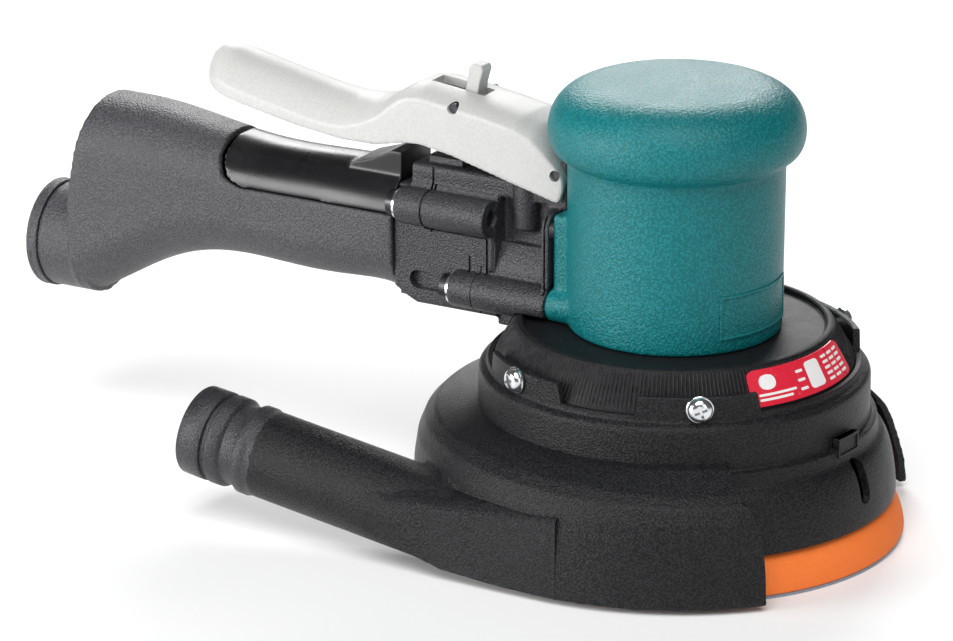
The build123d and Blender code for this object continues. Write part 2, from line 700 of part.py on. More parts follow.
def outer_skirt():
    rim_r = COLLAR_R + SEAT_GAP
    rim = [(rim_r, SKIRT_TOP_Z), (rim_r, SHROUD_BAND_Z + 1.4), (SHROUD_BAND_R, SHROUD_BAND_Z + 1.4)]
    shell = turned(skirt_line(0) + rim + skirt_line(SKIRT_WALL)[::-1], SKIRT_FROM, SKIRT_SWEEP)
    barb_zone = BARBS * BARB_PITCH + 2
    tube = spigot_rod(BARB_ROOT_R, 0, barb_zone + 2)
    tube += spigot_rod(SPIGOT_R, barb_zone, SPIGOT_LENGTH)
    for index in range(BARBS):
        tube += spigot_rod(BARB_R, index * BARB_PITCH + 1, index * BARB_PITCH + 1 + BARB_W)
    clear_r = PAD_R + ORBIT + AIR_GAP
    tube -= rod_z(clear_r, -20, SKIRT_TOP_Z)
    tube -= block((-200, 60), (-140, 0), (-40, SKIRT_FOOT_Z))
    tube -= block((SPIGOT_ROOT_X, 60), (-140, 0), (-40, 60))
    bore = spigot_rod(SPIGOT_BORE_R, -1, SPIGOT_SOCKET) + spigot_rod(SPIGOT_DUCT_R, 0, SPIGOT_LENGTH - 6)
    bore -= block((-60, 60), (-140, 0), (-40, SKIRT_FOOT_Z + 2))
    return shell + tube - bore


# --- handle ---------------------------------------------------------------------------
def handle_loft(inset):
    """The handle's outer form, or a smaller one inside it."""
    faces = []
    for share, low, high, half in HANDLE_STATIONS:
        x = HANDLE_FRONT_X - share * HANDLE_LENGTH
        width = 2 * (half - inset)
        height = high - low - 2 * inset
        plane = Plane(origin=(x, 0, (low + high) / 2), x_dir=(0, 1, 0), z_dir=(-1, 0, 0))
        faces.append(plane * RectangleRounded(width, height, 0.92 * (half - inset)))
    return loft(faces)


def rear_cut(inset):
    """A slab whose slanted end is the handle's rear face."""
    points = [
        (HANDLE_FRONT_X + 1, 30),
        (HANDLE_FRONT_X + 1, 130),
        (HANDLE_REAR_TOP_X + inset, 130),
        (HANDLE_REAR_TOP_X + inset, 121),
        (HANDLE_REAR_X + inset, 84),
        (HANDLE_REAR_X + inset, 30),
    ]
    return side_plate(points, 40)


def core_zone():
    """The side outline of the glossy insert: a long pocket with a round rear end."""
    high_z = 130.0
    radius = 9.0
    points = [
        (HANDLE_FRONT_X + 2, CORE_LOW_Z),
        (HANDLE_FRONT_X + 2, high_z),
        (CORE_END_X, high_z),
        (CORE_END_X, CORE_LOW_Z + radius),
        (CORE_END_X + 2.6, CORE_LOW_Z + 2.6),
        (CORE_END_X + radius, CORE_LOW_Z),
    ]
    return side_plate(points, 40)


def handle_core():
    saddle = handle_loft(0) & core_zone()
    saddle -= block((HANDLE_FRONT_X, 0), (-40, 40), (0, 140))
    horn_points = [
        (HANDLE_FRONT_X, 106),
        (HANDLE_FRONT_X, HORN_TOP_Z),
        (HANDLE_FRONT_X - 5, HORN_TOP_Z),
        (HANDLE_FRONT_X - 13, 114.4),
        (HANDLE_FRONT_X - 22, 111.6),
        (HANDLE_FRONT_X - 22, 106),
    ]
    horn = side_plate(horn_points, HORN_HALF_W)
    pipe = rod_x(PIPE_R, INLET_END_X + INLET_DEPTH, HANDLE_FRONT_X, 0, PIPE_Z)
    boss = rod_x(INLET_BOSS_R, INLET_END_X + 5, INLET_END_X + INLET_DEPTH + 8, 0, PIPE_Z)
    solid = saddle + horn + pipe + boss
    solid -= rod_x(PIPE_BORE_R, INLET_END_X - 1, HANDLE_FRONT_X + 1, 0, PIPE_Z)
    solid -= rod_x(INLET_BUSHING_R, INLET_END_X - 1, INLET_END_X + INLET_DEPTH, 0, PIPE_Z)
    return solid


def handle_sleeve():
    outer = handle_loft(0) & rear_cut(0)
    outer += rod_x(EXHAUST_R, EXHAUST_END_X, EXHAUST_ROOT_X, 0, EXHAUST_Z)
    hollow = handle_loft(HANDLE_WALL) & rear_cut(HANDLE_WALL)
    outer -= hollow
    outer -= rod_x(EXHAUST_BORE_R, EXHAUST_END_X - 1, EXHAUST_SOCKET_X, 0, EXHAUST_Z)
    outer -= rod_x(SILENCER_R, EXHAUST_SOCKET_X - 1, EXHAUST_ROOT_X, 0, EXHAUST_Z)
    outer -= block((HANDLE_FRONT_X, 0), (-40, 40), (0, 140))
    outer -= core_zone()
    outer -= rod_x(INLET_BOSS_R + SEAT_GAP, INLET_END_X - 2, INLET_END_X + 30, 0, PIPE_Z)
    return outer


def exhaust_ring():
    end = EXHAUST_END_X - EXHAUST_RING_T
    ring = rod_x(EXHAUST_RING_R, end, EXHAUST_END_X, 0, EXHAUST_Z)
    ring -= rod_x(EXHAUST_BORE_R, end - 1, EXHAUST_END_X + 1, 0, EXHAUST_Z)
    groove = rod_x(EXHAUST_RING_R + 1, end + 1.6, end + 2.4, 0, EXHAUST_Z)
    groove -= rod_x(EXHAUST_RING_R - 0.7, end, EXHAUST_END_X, 0, EXHAUST_Z)
    return ring - groove


def exhaust_silencer():
    low = EXHAUST_SOCKET_X
    plug = rod_x(SILENCER_R, low, low + SILENCER_T, 0, EXHAUST_Z)
    return plug - rod_x(5.0, low + 3, low + SILENCER_T + 1, 0, EXHAUST_Z)


def inlet_bushing():
    hexagon = Plane(origin=(INLET_END_X, 0, PIPE_Z), z_dir=(1, 0, 0)) * RegularPolygon(10.4, 6)
    head = extrude(hexagon, 4.4)
    body = rod_x(INLET_BUSHING_R, INLET_END_X + 4, INLET_END_X + INLET_DEPTH, 0, PIPE_Z)
    return head + body - rod_x(INLET_BORE_R, INLET_END_X - 1, INLET_END_X + INLET_DEPTH + 1, 0, PIPE_Z)


# --- valve body --------------------------------------------------------------------------
def body_spigot():
    """Tail of the valve body, which plugs into the handle sleeve."""
    plug = handle_loft(HANDLE_WALL + SEAT_GAP)
    plug &= block((HANDLE_FRONT_X - 10, HANDLE_FRONT_X), (-40, 40), (40, CORE_LOW_Z - SEAT_GAP))
    return plug - rod_x(PIPE_R + SEAT_GAP, HANDLE_FRONT_X - 12, HANDLE_FRONT_X, 0, PIPE_Z)


def underside():
    """What the body lacks below its belly, between the rear heel and the foot on the case."""
    length, height = BODY_HEEL
    face = make_face(
        Plane.XZ
        * Polyline(
            (HANDLE_FRONT_X - 1, BODY_LOW_Z - 1),
            (HANDLE_FRONT_X - 1, BODY_BELLY_Z + height),
            (HANDLE_FRONT_X, BODY_BELLY_Z + height),
            (HANDLE_FRONT_X + length, BODY_BELLY_Z),
            (BODY_FOOT_X, BODY_BELLY_Z),
            (BODY_FOOT_X + 1, BODY_LOW_Z - 1),
            close=True,
        )
    )
    return extrude(face, BODY_HALF_W + 1, both=True)


def valve_body():
    front = SADDLE_X - FLANGE_T
    body = block((HANDLE_FRONT_X, front), (-BODY_HALF_W, BODY_HALF_W), (BODY_LOW_Z, BODY_MID_Z))
    body = fillet(body.edges().filter_by(Axis.X), 5.0) - underside()
    deck = block((DECK_BACK_X, front - 3), (-DECK_HALF_W, DECK_HALF_W), (BODY_LOW_Z + 8, DECK_Z))
    deck = fillet(deck.edges().filter_by(Axis.X).group_by(Axis.Z)[-1], 2.0)
    ledge = block(LEDGE_X, (-DECK_HALF_W + 3, DECK_HALF_W - 3), (BODY_MID_Z, LEDGE_Z))
    body += deck + ledge
    flange = block((front, SADDLE_X), (-FLANGE_HALF_W, FLANGE_HALF_W), (BODY_LOW_Z + 2, SADDLE_TOP_Z))
    body += fillet(flange.edges().filter_by(Axis.X), 5.0)
    bracket = block(
        (BRACKET_BACK_X, BRACKET_FRONT_X),
        (-DECK_HALF_W, DECK_HALF_W),
        (SADDLE_TOP_Z, BRACKET_TOP_Z),
    )
    body += bracket + block((BRACKET_BACK_X, front), (-DECK_HALF_W, DECK_HALF_W), (BODY_MID_Z - 8, BODY_MID_Z + 1))
    body += body_spigot()
    for side in (-1, 1):
        body += rod_x(UPPER_BOSS_R, *UPPER_BOSS_X, side * BOSS_Y, UPPER_BOSS_Z)
        body += rod_x(LOWER_BOSS_R, *LOWER_BOSS_X, side * BOSS_Y, LOWER_BOSS_Z)
        outer = sorted((side * (BODY_HALF_W + 8), side * (BODY_HALF_W - 5)))
        body -= block((-96.0, LOWER_BOSS_X[0]), outer, (LOWER_BOSS_Z - BOLT_WASHER_R, LOWER_BOSS_Z + BOLT_WASHER_R))
        outer = sorted((side * (BODY_HALF_W + 8), side * (BODY_HALF_W - 7)))
        body -= block((UPPER_BOSS_X[1] + 0.5, front - 2), outer, (88.0, BODY_MID_Z + 1))
        body -= rod_x(TEAR_BOSS_R + SEAT_GAP, TEAR_BOSS_X - SEAT_GAP, SADDLE_X + 1, side * BOSS_Y, LOWER_BOSS_Z)
        body -= rod_x(BOLT_WASHER_R + 1.4, HANDLE_FRONT_X, UPPER_BOSS_X[0], side * BOSS_Y, UPPER_BOSS_Z)
        for z, x in ((UPPER_BOSS_Z, UPPER_BOSS_X[0]), (LOWER_BOSS_Z, LOWER_BOSS_X[0])):
            body -= rod_x(BOLT_R + SEAT_GAP, x - 1, SADDLE_X + 1, side * BOSS_Y, z)
    body -= rod_z(CASE_RIM_R + AIR_GAP, CASE_FOOT_Z, CASE_TOP_Z + SEAT_GAP)
    body -= rod_z(HOUSING_R + SEAT_GAP, CASE_FOOT_Z, SADDLE_TOP_Z + 1)
    body -= rod_x(PIPE_BORE_R, HANDLE_FRONT_X - 1, VALVE_X, 0, PIPE_Z)
    body -= rod_z(CHAMBER_R, BODY_LOW_Z - 1, GUIDE_Z, VALVE_X)
    body -= rod_z(GUIDE_R, GUIDE_Z - 1, DECK_Z + 1, VALVE_X)
    body -= rod_x(OUTLET_R, VALVE_X, SADDLE_X + 1, 0, OUTLET_Z)
    body -= rod_y(PIVOT_R, DECK_HALF_W + 1, PIVOT_X, PIVOT_Z)
    return body


def handle_bolt(x, side, z):
    head = rod_x(BOLT_HEAD_R, x - BOLT_WASHER_T - BOLT_HEAD_H, x - BOLT_WASHER_T, side * BOSS_Y, z)
    socket = Plane(origin=(x - BOLT_WASHER_T - BOLT_HEAD_H, side * BOSS_Y, z), z_dir=(1, 0, 0)) * RegularPolygon(2.3, 6)
    head -= extrude(socket, 2.0)
    return head + rod_x(BOLT_R, x - BOLT_WASHER_T, BOLT_TIP_X, side * BOSS_Y, z)


BOLT_PLACES = [(UPPER_BOSS_X[0], UPPER_BOSS_Z), (LOWER_BOSS_X[0], LOWER_BOSS_Z)]


def handle_bolts():
    return group(handle_bolt(x, side, z) for x, z in BOLT_PLACES for side in (-1, 1))


def handle_bolt_washers():
    rings = []
    for x, z in BOLT_PLACES:
        for side in (-1, 1):
            ring = rod_x(BOLT_WASHER_R, x - BOLT_WASHER_T, x, side * BOSS_Y, z)
            rings.append(ring - rod_x(BOLT_R, x - 3, x + 3, side * BOSS_Y, z))
    return group(rings)


# --- throttle valve -----------------------------------------------------------------------
def valve_seat():
    return rod_z(CHAMBER_R, SEAT_Z, SEAT_Z + SEAT_T, VALVE_X) - rod_z(SEAT_BORE_R, SEAT_Z - 1, SEAT_Z + 4, VALVE_X)


def stem_guide():
    guide = rod_z(GUIDE_R, GUIDE_Z, GUIDE_TOP_Z, VALVE_X)
    guide -= rod_z(STEM_R + RUNNING, GUIDE_Z - 1, GUIDE_TOP_Z + 1, VALVE_X)
    return guide - rod_z(STEM_R + 1.2, GUIDE_Z + 1.6, GUIDE_Z + 3.4, VALVE_X)


def stem_seal():
    centre = GUIDE_Z + 2.5
    return rod_z(STEM_R + 1.15, centre - 0.8, centre + 0.8, VALVE_X) - rod_z(STEM_R + RUNNING, centre - 2, centre + 2, VALVE_X)


POPPET_TOP_Z = SEAT_Z - SEAT_GAP
PLUG_TOP_Z = PLUG_LOW_Z + PLUG_T


def valve_plunger():
    poppet = rod_z(POPPET_R, POPPET_TOP_Z - POPPET_T, POPPET_TOP_Z, VALVE_X)
    stem = rod_z(STEM_R, POPPET_TOP_Z, BUTTON_Z, VALVE_X)
    button = rod_z(BUTTON_R, BUTTON_Z, LEVER_RIB_Z - 0.1, VALVE_X)
    button = fillet(button.edges().filter_by(GeomType.CIRCLE).sort_by(Axis.Z)[-1], 0.8)
    return poppet + stem + button


def valve_plug():
    body = rod_z(CHAMBER_R, PLUG_LOW_Z, PLUG_TOP_Z, VALVE_X)
    key = Pos(VALVE_X, 0, PLUG_LOW_Z) * RegularPolygon(PLUG_KEY_R, 6)
    return body - extrude(key, PLUG_T / 2)


def valve_spring():
    low = PLUG_TOP_Z + SPRING_WIRE_R + 0.1
    height = POPPET_TOP_Z - POPPET_T - SPRING_WIRE_R - 0.2 - low
    path = Pos(VALVE_X, 0, low) * Helix(SPRING_PITCH, height, SPRING_R)
    section = Plane(origin=path @ 0, z_dir=path % 0) * Circle(SPRING_WIRE_R)
    return sweep(section, path=path)


# --- levers --------------------------------------------------------------------------------
def lever_outline():
    """Side outline of the throttle lever, from its pivot; round the paddle and back."""
    top = Spline((-9.5, 18.1), (-24.0, 20.1), (-39.0, 21.7), (-52.0, 22.7))
    saddle = Spline(
        top @ 1,
        (-60.0, 19.7),
        (-69.0, 15.3),
        (-81.0, 15.3),
        (-108.0, 19.3),
        (-128.0, 22.9),
        (-137.0, 23.1),
    )
    tip = ThreePointArc(saddle @ 1, (-143.0, 18.0), (-141.4, 10.7))
    under = Spline(tip @ 1, (-125.0, 7.1), (-102.0, 2.5), (-84.0, 0.1), (-71.0, 0.1))
    hump = Spline(under @ 1, (-61.0, 2.5), (-52.0, 4.5), (-43.0, 3.5))
    skirt = Line(hump @ 1, (1.0, -9.9))
    nose = Polyline(skirt @ 1, (2.6, -8.0), (3.2, -2.5), (2.0, 4.5), top @ 0)
    return make_face(top + saddle + tip + under + hump + skirt + nose)


def lever_hollow():
    """Inside of the channel, below the roof, from the pivot."""
    top = Spline((-0.5, 6.0), (-12.0, 15.1), (-24.0, 17.1), (-39.0, 18.5), (-51.0, 19.4))
    saddle = Spline(top @ 1, (-59.0, 16.3), (-69.0, 12.1), (-81.0, 12.1), (-108.0, 16.1), (-122.0, 18.1))
    rest = Polyline(saddle @ 1, (-128.0, -0.5), (-128.0, -20.5), (8.0, -20.5), (8.0, 6.0), top @ 0)
    return make_face(top + saddle + rest)


def throttle_lever():
    blade = extrude(Plane.XZ * lever_outline(), LEVER_HALF_W, both=True)
    hollow = extrude(Plane.XZ * lever_hollow(), LEVER_INNER_W, both=True)
    rib = block(
        (VALVE_X - LEVER_RIB_T / 2, VALVE_X + LEVER_RIB_T / 2),
        (-LEVER_INNER_W - 1, LEVER_INNER_W + 1),
        (LEVER_RIB_Z, LEVER_RIB_Z + 10.0),
    )
    blade = Pos(PIVOT_X, 0, PIVOT_Z) * (blade - hollow) + rib
    slot = (-LOCK_SLOT_HALF_W, LOCK_SLOT_HALF_W)
    blade -= block(LOCK_SLOT_X, slot, (130, 150))
    blade -= rod_y(PIVOT_R + RUNNING, LEVER_HALF_W + 1, PIVOT_X, PIVOT_Z)
    blade -= rod_y(LOCK_PIN_R, LEVER_HALF_W + 1, LOCK_X, LOCK_Z)
    return blade


def lever_pivot_pin():
    return rod_y(PIVOT_R, LEVER_HALF_W + 1.0, PIVOT_X, PIVOT_Z)


def lock_pin():
    return rod_y(LOCK_PIN_R, LEVER_HALF_W, LOCK_X, LOCK_Z)


def lock_lever():
    hub_r = LOCK_PIN_R + 1.7
    tab_points = [
        (LOCK_X - 2.6, LOCK_Z),
        (LOCK_X - 1.2, LOCK_Z + 6.0),
        (LOCK_X - 0.6, LOCK_TAB_TOP_Z - 1.5),
        (LOCK_X + 0.8, LOCK_TAB_TOP_Z),
        (LOCK_X + 4.4, LOCK_TAB_TOP_Z - 0.6),
        (LOCK_X + 5.0, LOCK_TAB_TOP_Z - 2.2),
        (LOCK_X + 3.6, LOCK_Z + 6.0),
        (LOCK_X + 2.6, LOCK_Z),
    ]
    leg = block(
        (LOCK_X - LOCK_LEG_HALF_T, LOCK_X + LOCK_LEG_HALF_T),
        (-LOCK_HALF_W, LOCK_HALF_W),
        (LOCK_TIP_Z, LOCK_Z),
    )
    solid = side_plate(tab_points, LOCK_HALF_W) + leg + rod_y(hub_r, LOCK_HALF_W, LOCK_X, LOCK_Z)
    return solid - rod_y(LOCK_PIN_R + RUNNING, LOCK_HALF_W + 1, LOCK_X, LOCK_Z)


# --- assembly -------------------------------------------------------------------------------
PARTS = {
    "hook_face": hook_face,
    "foam_pad": foam_pad,
    "backing_plate": backing_plate,
    "pad_screw": pad_screw,
    "orbit_gear": orbit_gear,
    "ring_gear": ring_gear,
    "pad_spindle": spindle,
    "spindle_bearings": spindle_bearings,
    "crank_shaft": crank_shaft,
    "counterweight": counterweight,
    "rotor": rotor,
    "rotor_vanes": rotor_vanes,
    "cylinder_liner": cylinder_liner,
    "lower_end_plate": lower_end_plate,
    "upper_end_plate": upper_end_plate,
    "lower_bearing": lambda: bearing(LOWER_BEARING_Z),
    "upper_bearing": lambda: bearing(UPPER_BEARING_Z),
    "motor_housing": motor_housing,
    "palm_housing": palm_housing,
    "gear_case": gear_case,
    "dust_cover": dust_cover,
    "label_plate": label_plate,
    "inner_shroud": inner_shroud,
    "shroud_screws": shroud_screws,
    "shroud_washers": shroud_washers,
    "outer_skirt": outer_skirt,
    "handle_core": handle_core,
    "handle_sleeve": handle_sleeve,
    "exhaust_ring": exhaust_ring,
    "exhaust_silencer": exhaust_silencer,
    "inlet_bushing": inlet_bushing,
    "valve_body": valve_body,
    "handle_bolts": handle_bolts,
    "handle_bolt_washers": handle_bolt_washers,
    "valve_seat": valve_seat,
    "stem_guide": stem_guide,
    "stem_seal": stem_seal,
    "valve_plunger": valve_plunger,
    "valve_plug": valve_plug,
    "valve_spring": valve_spring,
    "throttle_lever": throttle_lever,
    "lever_pivot_pin": lever_pivot_pin,
    "lock_pin": lock_pin,
    "lock_lever": lock_lever,
}


def main():
    os.makedirs("parts", exist_ok=True)
    for name, make in PARTS.items():
        export_step(make(), f"parts/{name}.step")


main()
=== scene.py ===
"""Visible model of a two-hand, air-driven orbital sander, laid out as an add-on and run as a script.

Metres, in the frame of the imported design: +Z up, motor axis on Z, handle along -X.
"""

import math

import bmesh
import bpy
import numpy as np
from bpy.props import FloatProperty, FloatVectorProperty, IntProperty, PointerProperty
from mathutils import Matrix, Vector


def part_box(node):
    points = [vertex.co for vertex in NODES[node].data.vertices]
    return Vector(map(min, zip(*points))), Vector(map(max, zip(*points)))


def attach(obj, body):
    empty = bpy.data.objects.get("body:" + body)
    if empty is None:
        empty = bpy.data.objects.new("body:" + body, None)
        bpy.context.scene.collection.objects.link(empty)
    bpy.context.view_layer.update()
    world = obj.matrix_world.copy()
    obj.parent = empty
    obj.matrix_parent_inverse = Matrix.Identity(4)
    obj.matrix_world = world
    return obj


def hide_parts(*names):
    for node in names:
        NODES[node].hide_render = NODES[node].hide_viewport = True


bl_info = {
    "name": "Orbital Sander",
    "version": (1, 0, 0),
    "blender": (4, 5, 0),
    "location": "View3D > Sidebar > Sander",
    "description": "Builds the visible pieces, finishes and studio of a two-hand orbital sander",
    "category": "Object",
}

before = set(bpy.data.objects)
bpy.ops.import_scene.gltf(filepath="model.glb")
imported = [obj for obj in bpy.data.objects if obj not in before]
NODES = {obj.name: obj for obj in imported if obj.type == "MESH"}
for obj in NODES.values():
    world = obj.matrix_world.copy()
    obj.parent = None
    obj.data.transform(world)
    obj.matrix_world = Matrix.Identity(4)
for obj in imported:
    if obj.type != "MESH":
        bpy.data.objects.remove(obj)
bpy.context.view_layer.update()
MM = 0.001


# --- places read from the frame -------------------------------------------------------------------
def node_box(name):
    """Lowest and highest corner of a design node, in millimetres."""
    low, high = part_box(name)
    return np.array(low) / MM, np.array(high) / MM


HOUSING_LOW, HOUSING_HIGH = node_box("palm_housing")
CASE_FOOT_Z = node_box("gear_case")[0][2]
PAD_LOW, PAD_HIGH = node_box("foam_pad")
HOOK_LOW, HOOK_HIGH = node_box("hook_face")
ORBIT = (PAD_LOW[0] + PAD_HIGH[0]) / 2


# --- settings -------------------------------------------------------------------------------------
def colour(name, description, value):
    return FloatVectorProperty(
        name=name, description=description, subtype="COLOR", size=3, min=0.0, max=1.0, default=value
    )


def length(name, description, value):
    return FloatProperty(name=name, description=description, default=value, min=0.0, unit="LENGTH", precision=5)


class SanderFinish(bpy.types.PropertyGroup):
    """Colours and texture sizes of the sander's finishes."""

    teal: colour("Teal", "Colour of the palm housing", (0.001, 0.125, 0.135))
    black: colour("Black", "Colour of the moulded black parts", (0.0055, 0.0055, 0.0065))
    # This colour is a lighter copy of the black: it paints the key light's brightness on the sleeve and rear ring into
    # their colour.
    grip_lit_black: colour("Grip", "Colour of the handle's sleeve", (0.030, 0.030, 0.034))
    lever_grey: colour("Lever grey", "Colour of the throttle and lock-off levers", (0.46, 0.46, 0.448))
    foam_orange: colour("Foam orange", "Colour of the pad", (0.90, 0.20, 0.035))
    label_red: colour("Label red", "Ground colour of the label", (0.72, 0.018, 0.045))
    label_white: colour("Label white", "Colour of the label's print", (0.86, 0.85, 0.84))
    hook_grey: colour("Hook grey", "Colour of the pad's hook face", (0.36, 0.42, 0.50))
    pebble: length("Pebble", "Grain size of the palm housing's texture", 0.00085)
    grain: length("Grain", "Grain size of the moulded black parts", 0.00065)


class SanderSizes(bpy.types.PropertyGroup):
    """Sizes that shape the visible pieces."""

    fineness: FloatProperty(name="Fineness", description="Scales the mesh size of moulded pieces", default=1.0, min=0.5)
    case_ridges: IntProperty(name="Case ridges", description="Ridges round the gear case", default=260, min=12)
    ridge_height: length("Ridge height", "How far a case ridge stands out", 0.00040)


class SanderStage(bpy.types.PropertyGroup):
    """Camera, floor and lights."""

    azimuth: FloatProperty(name="Azimuth", description="Direction of the camera", default=30.0)
    elevation: FloatProperty(name="Elevation", description="Camera's height above the horizon", default=18.8)
    distance: length("Distance", "Camera's distance from the pad's centre", 1.867)
    focal: FloatProperty(name="Focal length", description="Lens, in millimetres", default=207.8, min=10.0)
    aim_right: FloatProperty(
        name="Aim right", description="How far the view's centre lies from the motor axis", default=-0.0665
    )
    aim_up: FloatProperty(
        name="Aim up", description="How far the view's centre lies above the pad's face", default=0.0679
    )
    key: FloatProperty(name="Key light", description="Power of the key light, in watts", default=22.0, min=0.0)
    fill: FloatProperty(name="Fill light", description="Power of the fill light, in watts", default=3.0, min=0.0)
    rim: FloatProperty(name="Rim light", description="Power of the rim light, in watts", default=16.0, min=0.0)
    overhead: FloatProperty(name="Overhead light", description="Strength of the soft light from above", default=2.4,
                            min=0.0)
    sky: FloatProperty(name="Sky", description="Strength of the white surroundings", default=0.10, min=0.0)


def finish_of():
    return bpy.context.scene.sander_finish


def sizes_of():
    return bpy.context.scene.sander_sizes


def stage_of():
    return bpy.context.scene.sander_stage


# --- mesh tools -----------------------------------------------------------------------------------
def mesh_from(vertices, faces, name="part"):
    """A mesh from millimetre vertices and faces."""
    mesh = bpy.data.meshes.new(name)
    mesh.from_pydata([tuple(v * MM for v in vertex) for vertex in vertices], [], faces)
    mesh.update()
    return mesh


def outward(mesh, doubles=1e-6):
    """Merges doubles and turns every face outwards."""
    work = bmesh.new()
    work.from_mesh(mesh)
    bmesh.ops.remove_doubles(work, verts=work.verts, dist=doubles)
    bmesh.ops.recalc_face_normals(work, faces=work.faces)
    work.to_mesh(mesh)
    work.free()
    return mesh


def joined(*meshes):
    """One mesh holding several."""
    work = bmesh.new()
    for mesh in meshes:
        work.from_mesh(mesh)
    result = bpy.data.meshes.new("joined")
    work.to_mesh(result)
    work.free()
    return result


def moved(mesh, matrix):
    mesh.transform(matrix)
    return mesh


def box_mesh(low, high):
    """A box from two corners in millimetres."""
    x0, y0, z0 = low
    x1, y1, z1 = high
    vertices = [(x, y, z) for z in (z0, z1) for y in (y0, y1) for x in (x0, x1)]
    faces = [(0, 2, 3, 1), (4, 5, 7, 6), (0, 1, 5, 4), (2, 6, 7, 3), (0, 4, 6, 2), (1, 3, 7, 5)]
    return outward(mesh_from(vertices, faces))


def lofted(sections, whole=False):
    """A solid skinned over closed sections; a whole one runs on from its last section to its first."""
    rows = len(sections[0])
    count = len(sections)
    faces = []
    for index in range(count if whole else count - 1):
        after = (index + 1) % count
        for row in range(rows):
            below = (row + 1) % rows
            faces.append((index * rows + row, after * rows + row, after * rows + below, index * rows + below))
    if not whole:
        faces += [tuple(range(rows)), tuple((count - 1) * rows + row for row in reversed(range(rows)))]
    return outward(mesh_from([point for section in sections for point in section], faces))


def lathe_mesh(profile_at, azimuths, whole=True, centre_x=0.0):
    """A solid turned about an upright axis whose closed (radius, height) profile may change with azimuth."""
    sections = []
    for azimuth in azimuths:
        across, along_y = math.cos(math.radians(azimuth)), math.sin(math.radians(azimuth))
        profile = profile_at(azimuth)
        sections.append([(centre_x + radius * across, radius * along_y, height) for radius, height in profile])
    return lofted(sections, whole)


def turned_mesh(profile, steps=128, centre_x=0.0):
    """A solid of revolution from one closed profile, its poles merged."""
    mesh = lathe_mesh(lambda azimuth: profile, [360.0 * index / steps for index in range(steps)], True, centre_x)
    work = bmesh.new()
    work.from_mesh(mesh)
    bmesh.ops.remove_doubles(work, verts=work.verts, dist=1e-7)
    bmesh.ops.dissolve_degenerate(work, edges=work.edges, dist=1e-8)
    bmesh.ops.recalc_face_normals(work, faces=work.faces)
    work.to_mesh(mesh)
    work.free()
    return mesh


def blended(first, second, share):
    """A profile part of the way from one to another with as many points."""
    return [(a[0] + (b[0] - a[0]) * share, a[1] + (b[1] - a[1]) * share) for a, b in zip(first, second)]


def rod_mesh(radius, start, end, steps=48, end_radius=None):
    """A closed cylinder or cone between two points in millimetres."""
    tip = radius if end_radius is None else end_radius
    reach = (Vector(end) - Vector(start)).length
    mesh = turned_mesh([(0, 0), (radius, 0), (tip, reach), (0, reach)], steps)
    turn = (Vector(end) - Vector(start)).to_track_quat("Z", "Y").to_matrix().to_4x4()
    return moved(mesh, Matrix.Translation(Vector(start) * MM) @ turn)


def ball_mesh(radius, centre, stretch=(1, 1, 1)):
    work = bmesh.new()
    bmesh.ops.create_icosphere(work, subdivisions=4, radius=radius * MM)
    mesh = bpy.data.meshes.new("ball")
    work.to_mesh(mesh)
    work.free()
    mesh.transform(Matrix.Diagonal((*stretch, 1)))
    return moved(mesh, Matrix.Translation(Vector(centre) * MM))


def prism_mesh(outline, low, high):
    """A polygon of (y, z) points, thickened along X."""
    return lofted([[(level, a, b) for a, b in outline] for level in (low, high)])


def bezier(points, count=16):
    """Points along one cubic curve, its end left out."""
    p0, p1, p2, p3 = (np.array(point, float) for point in points)
    result = []
    for index in range(count):
        t = index / count
        s = 1 - t
        result.append(tuple(s**3 * p0 + 3 * s * s * t * p1 + 3 * s * t * t * p2 + t**3 * p3))
    return result


def design_copy(node):
    """A closed copy of a design node's mesh."""
    mesh = NODES[node].data.copy()
    work = bmesh.new()
    work.from_mesh(mesh)
    bmesh.ops.remove_doubles(work, verts=work.verts, dist=2e-6)
    work.to_mesh(mesh)
    work.free()
    mesh.materials.clear()
    return mesh


def placed(name, mesh):
    """A new object at the origin that shows a mesh."""
    piece = bpy.data.objects.new(name, mesh)
    bpy.context.scene.collection.objects.link(piece)
    return piece


def baked(piece):
    """The plain mesh that an object's modifiers give, and removes the object."""
    graph = bpy.context.evaluated_depsgraph_get()
    mesh = bpy.data.meshes.new_from_object(piece.evaluated_get(graph), depsgraph=graph)
    bpy.data.objects.remove(piece)
    return mesh


def combined(mesh, other, operation):
    """The union or difference of two closed meshes."""
    piece = placed("piece", mesh)
    tool = placed("tool", other)
    change = piece.modifiers.new("boolean", "BOOLEAN")
    change.operation = operation
    change.solver = "MANIFOLD"
    change.object = tool
    result = baked(piece)
    bpy.data.objects.remove(tool)
    return result


def cut(mesh, cutter):
    """A mesh with a closed cutter taken away."""
    return combined(mesh, cutter, "DIFFERENCE")


def moulded(mesh, voxel, smoothing):
    """Unites overlapping closed solids and rounds their edges, as a mould does."""
    piece = placed("moulding", mesh)
    remesh = piece.modifiers.new("remesh", "REMESH")
    remesh.mode = "VOXEL"
    remesh.voxel_size = voxel * sizes_of().fineness
    remesh.use_smooth_shade = True
    smooth = piece.modifiers.new("smooth", "SMOOTH")
    smooth.factor = 0.5
    smooth.iterations = smoothing
    return baked(piece)


def inset(mesh, depth):
    """A mesh whose faces are drawn in along their normals, in millimetres."""
    piece = placed("inset", mesh)
    change = piece.modifiers.new("inset", "DISPLACE")
    change.strength = -depth * MM
    change.mid_level = 0.0
    return baked(piece)


def show(name, mesh, materials, body, nodes=(), smooth_angle=None):
    """Turns a finished mesh into a piece that rides on a body and stands for design nodes."""
    mesh.materials.clear()
    for material in materials:
        mesh.materials.append(material)
    mesh.shade_smooth()
    if smooth_angle is not None:
        mesh.set_sharp_from_angle(angle=math.radians(smooth_angle))
    piece = placed(name, mesh)
    mesh.name = name
    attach(piece, body)
    if nodes:
        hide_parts(*nodes)
    return piece


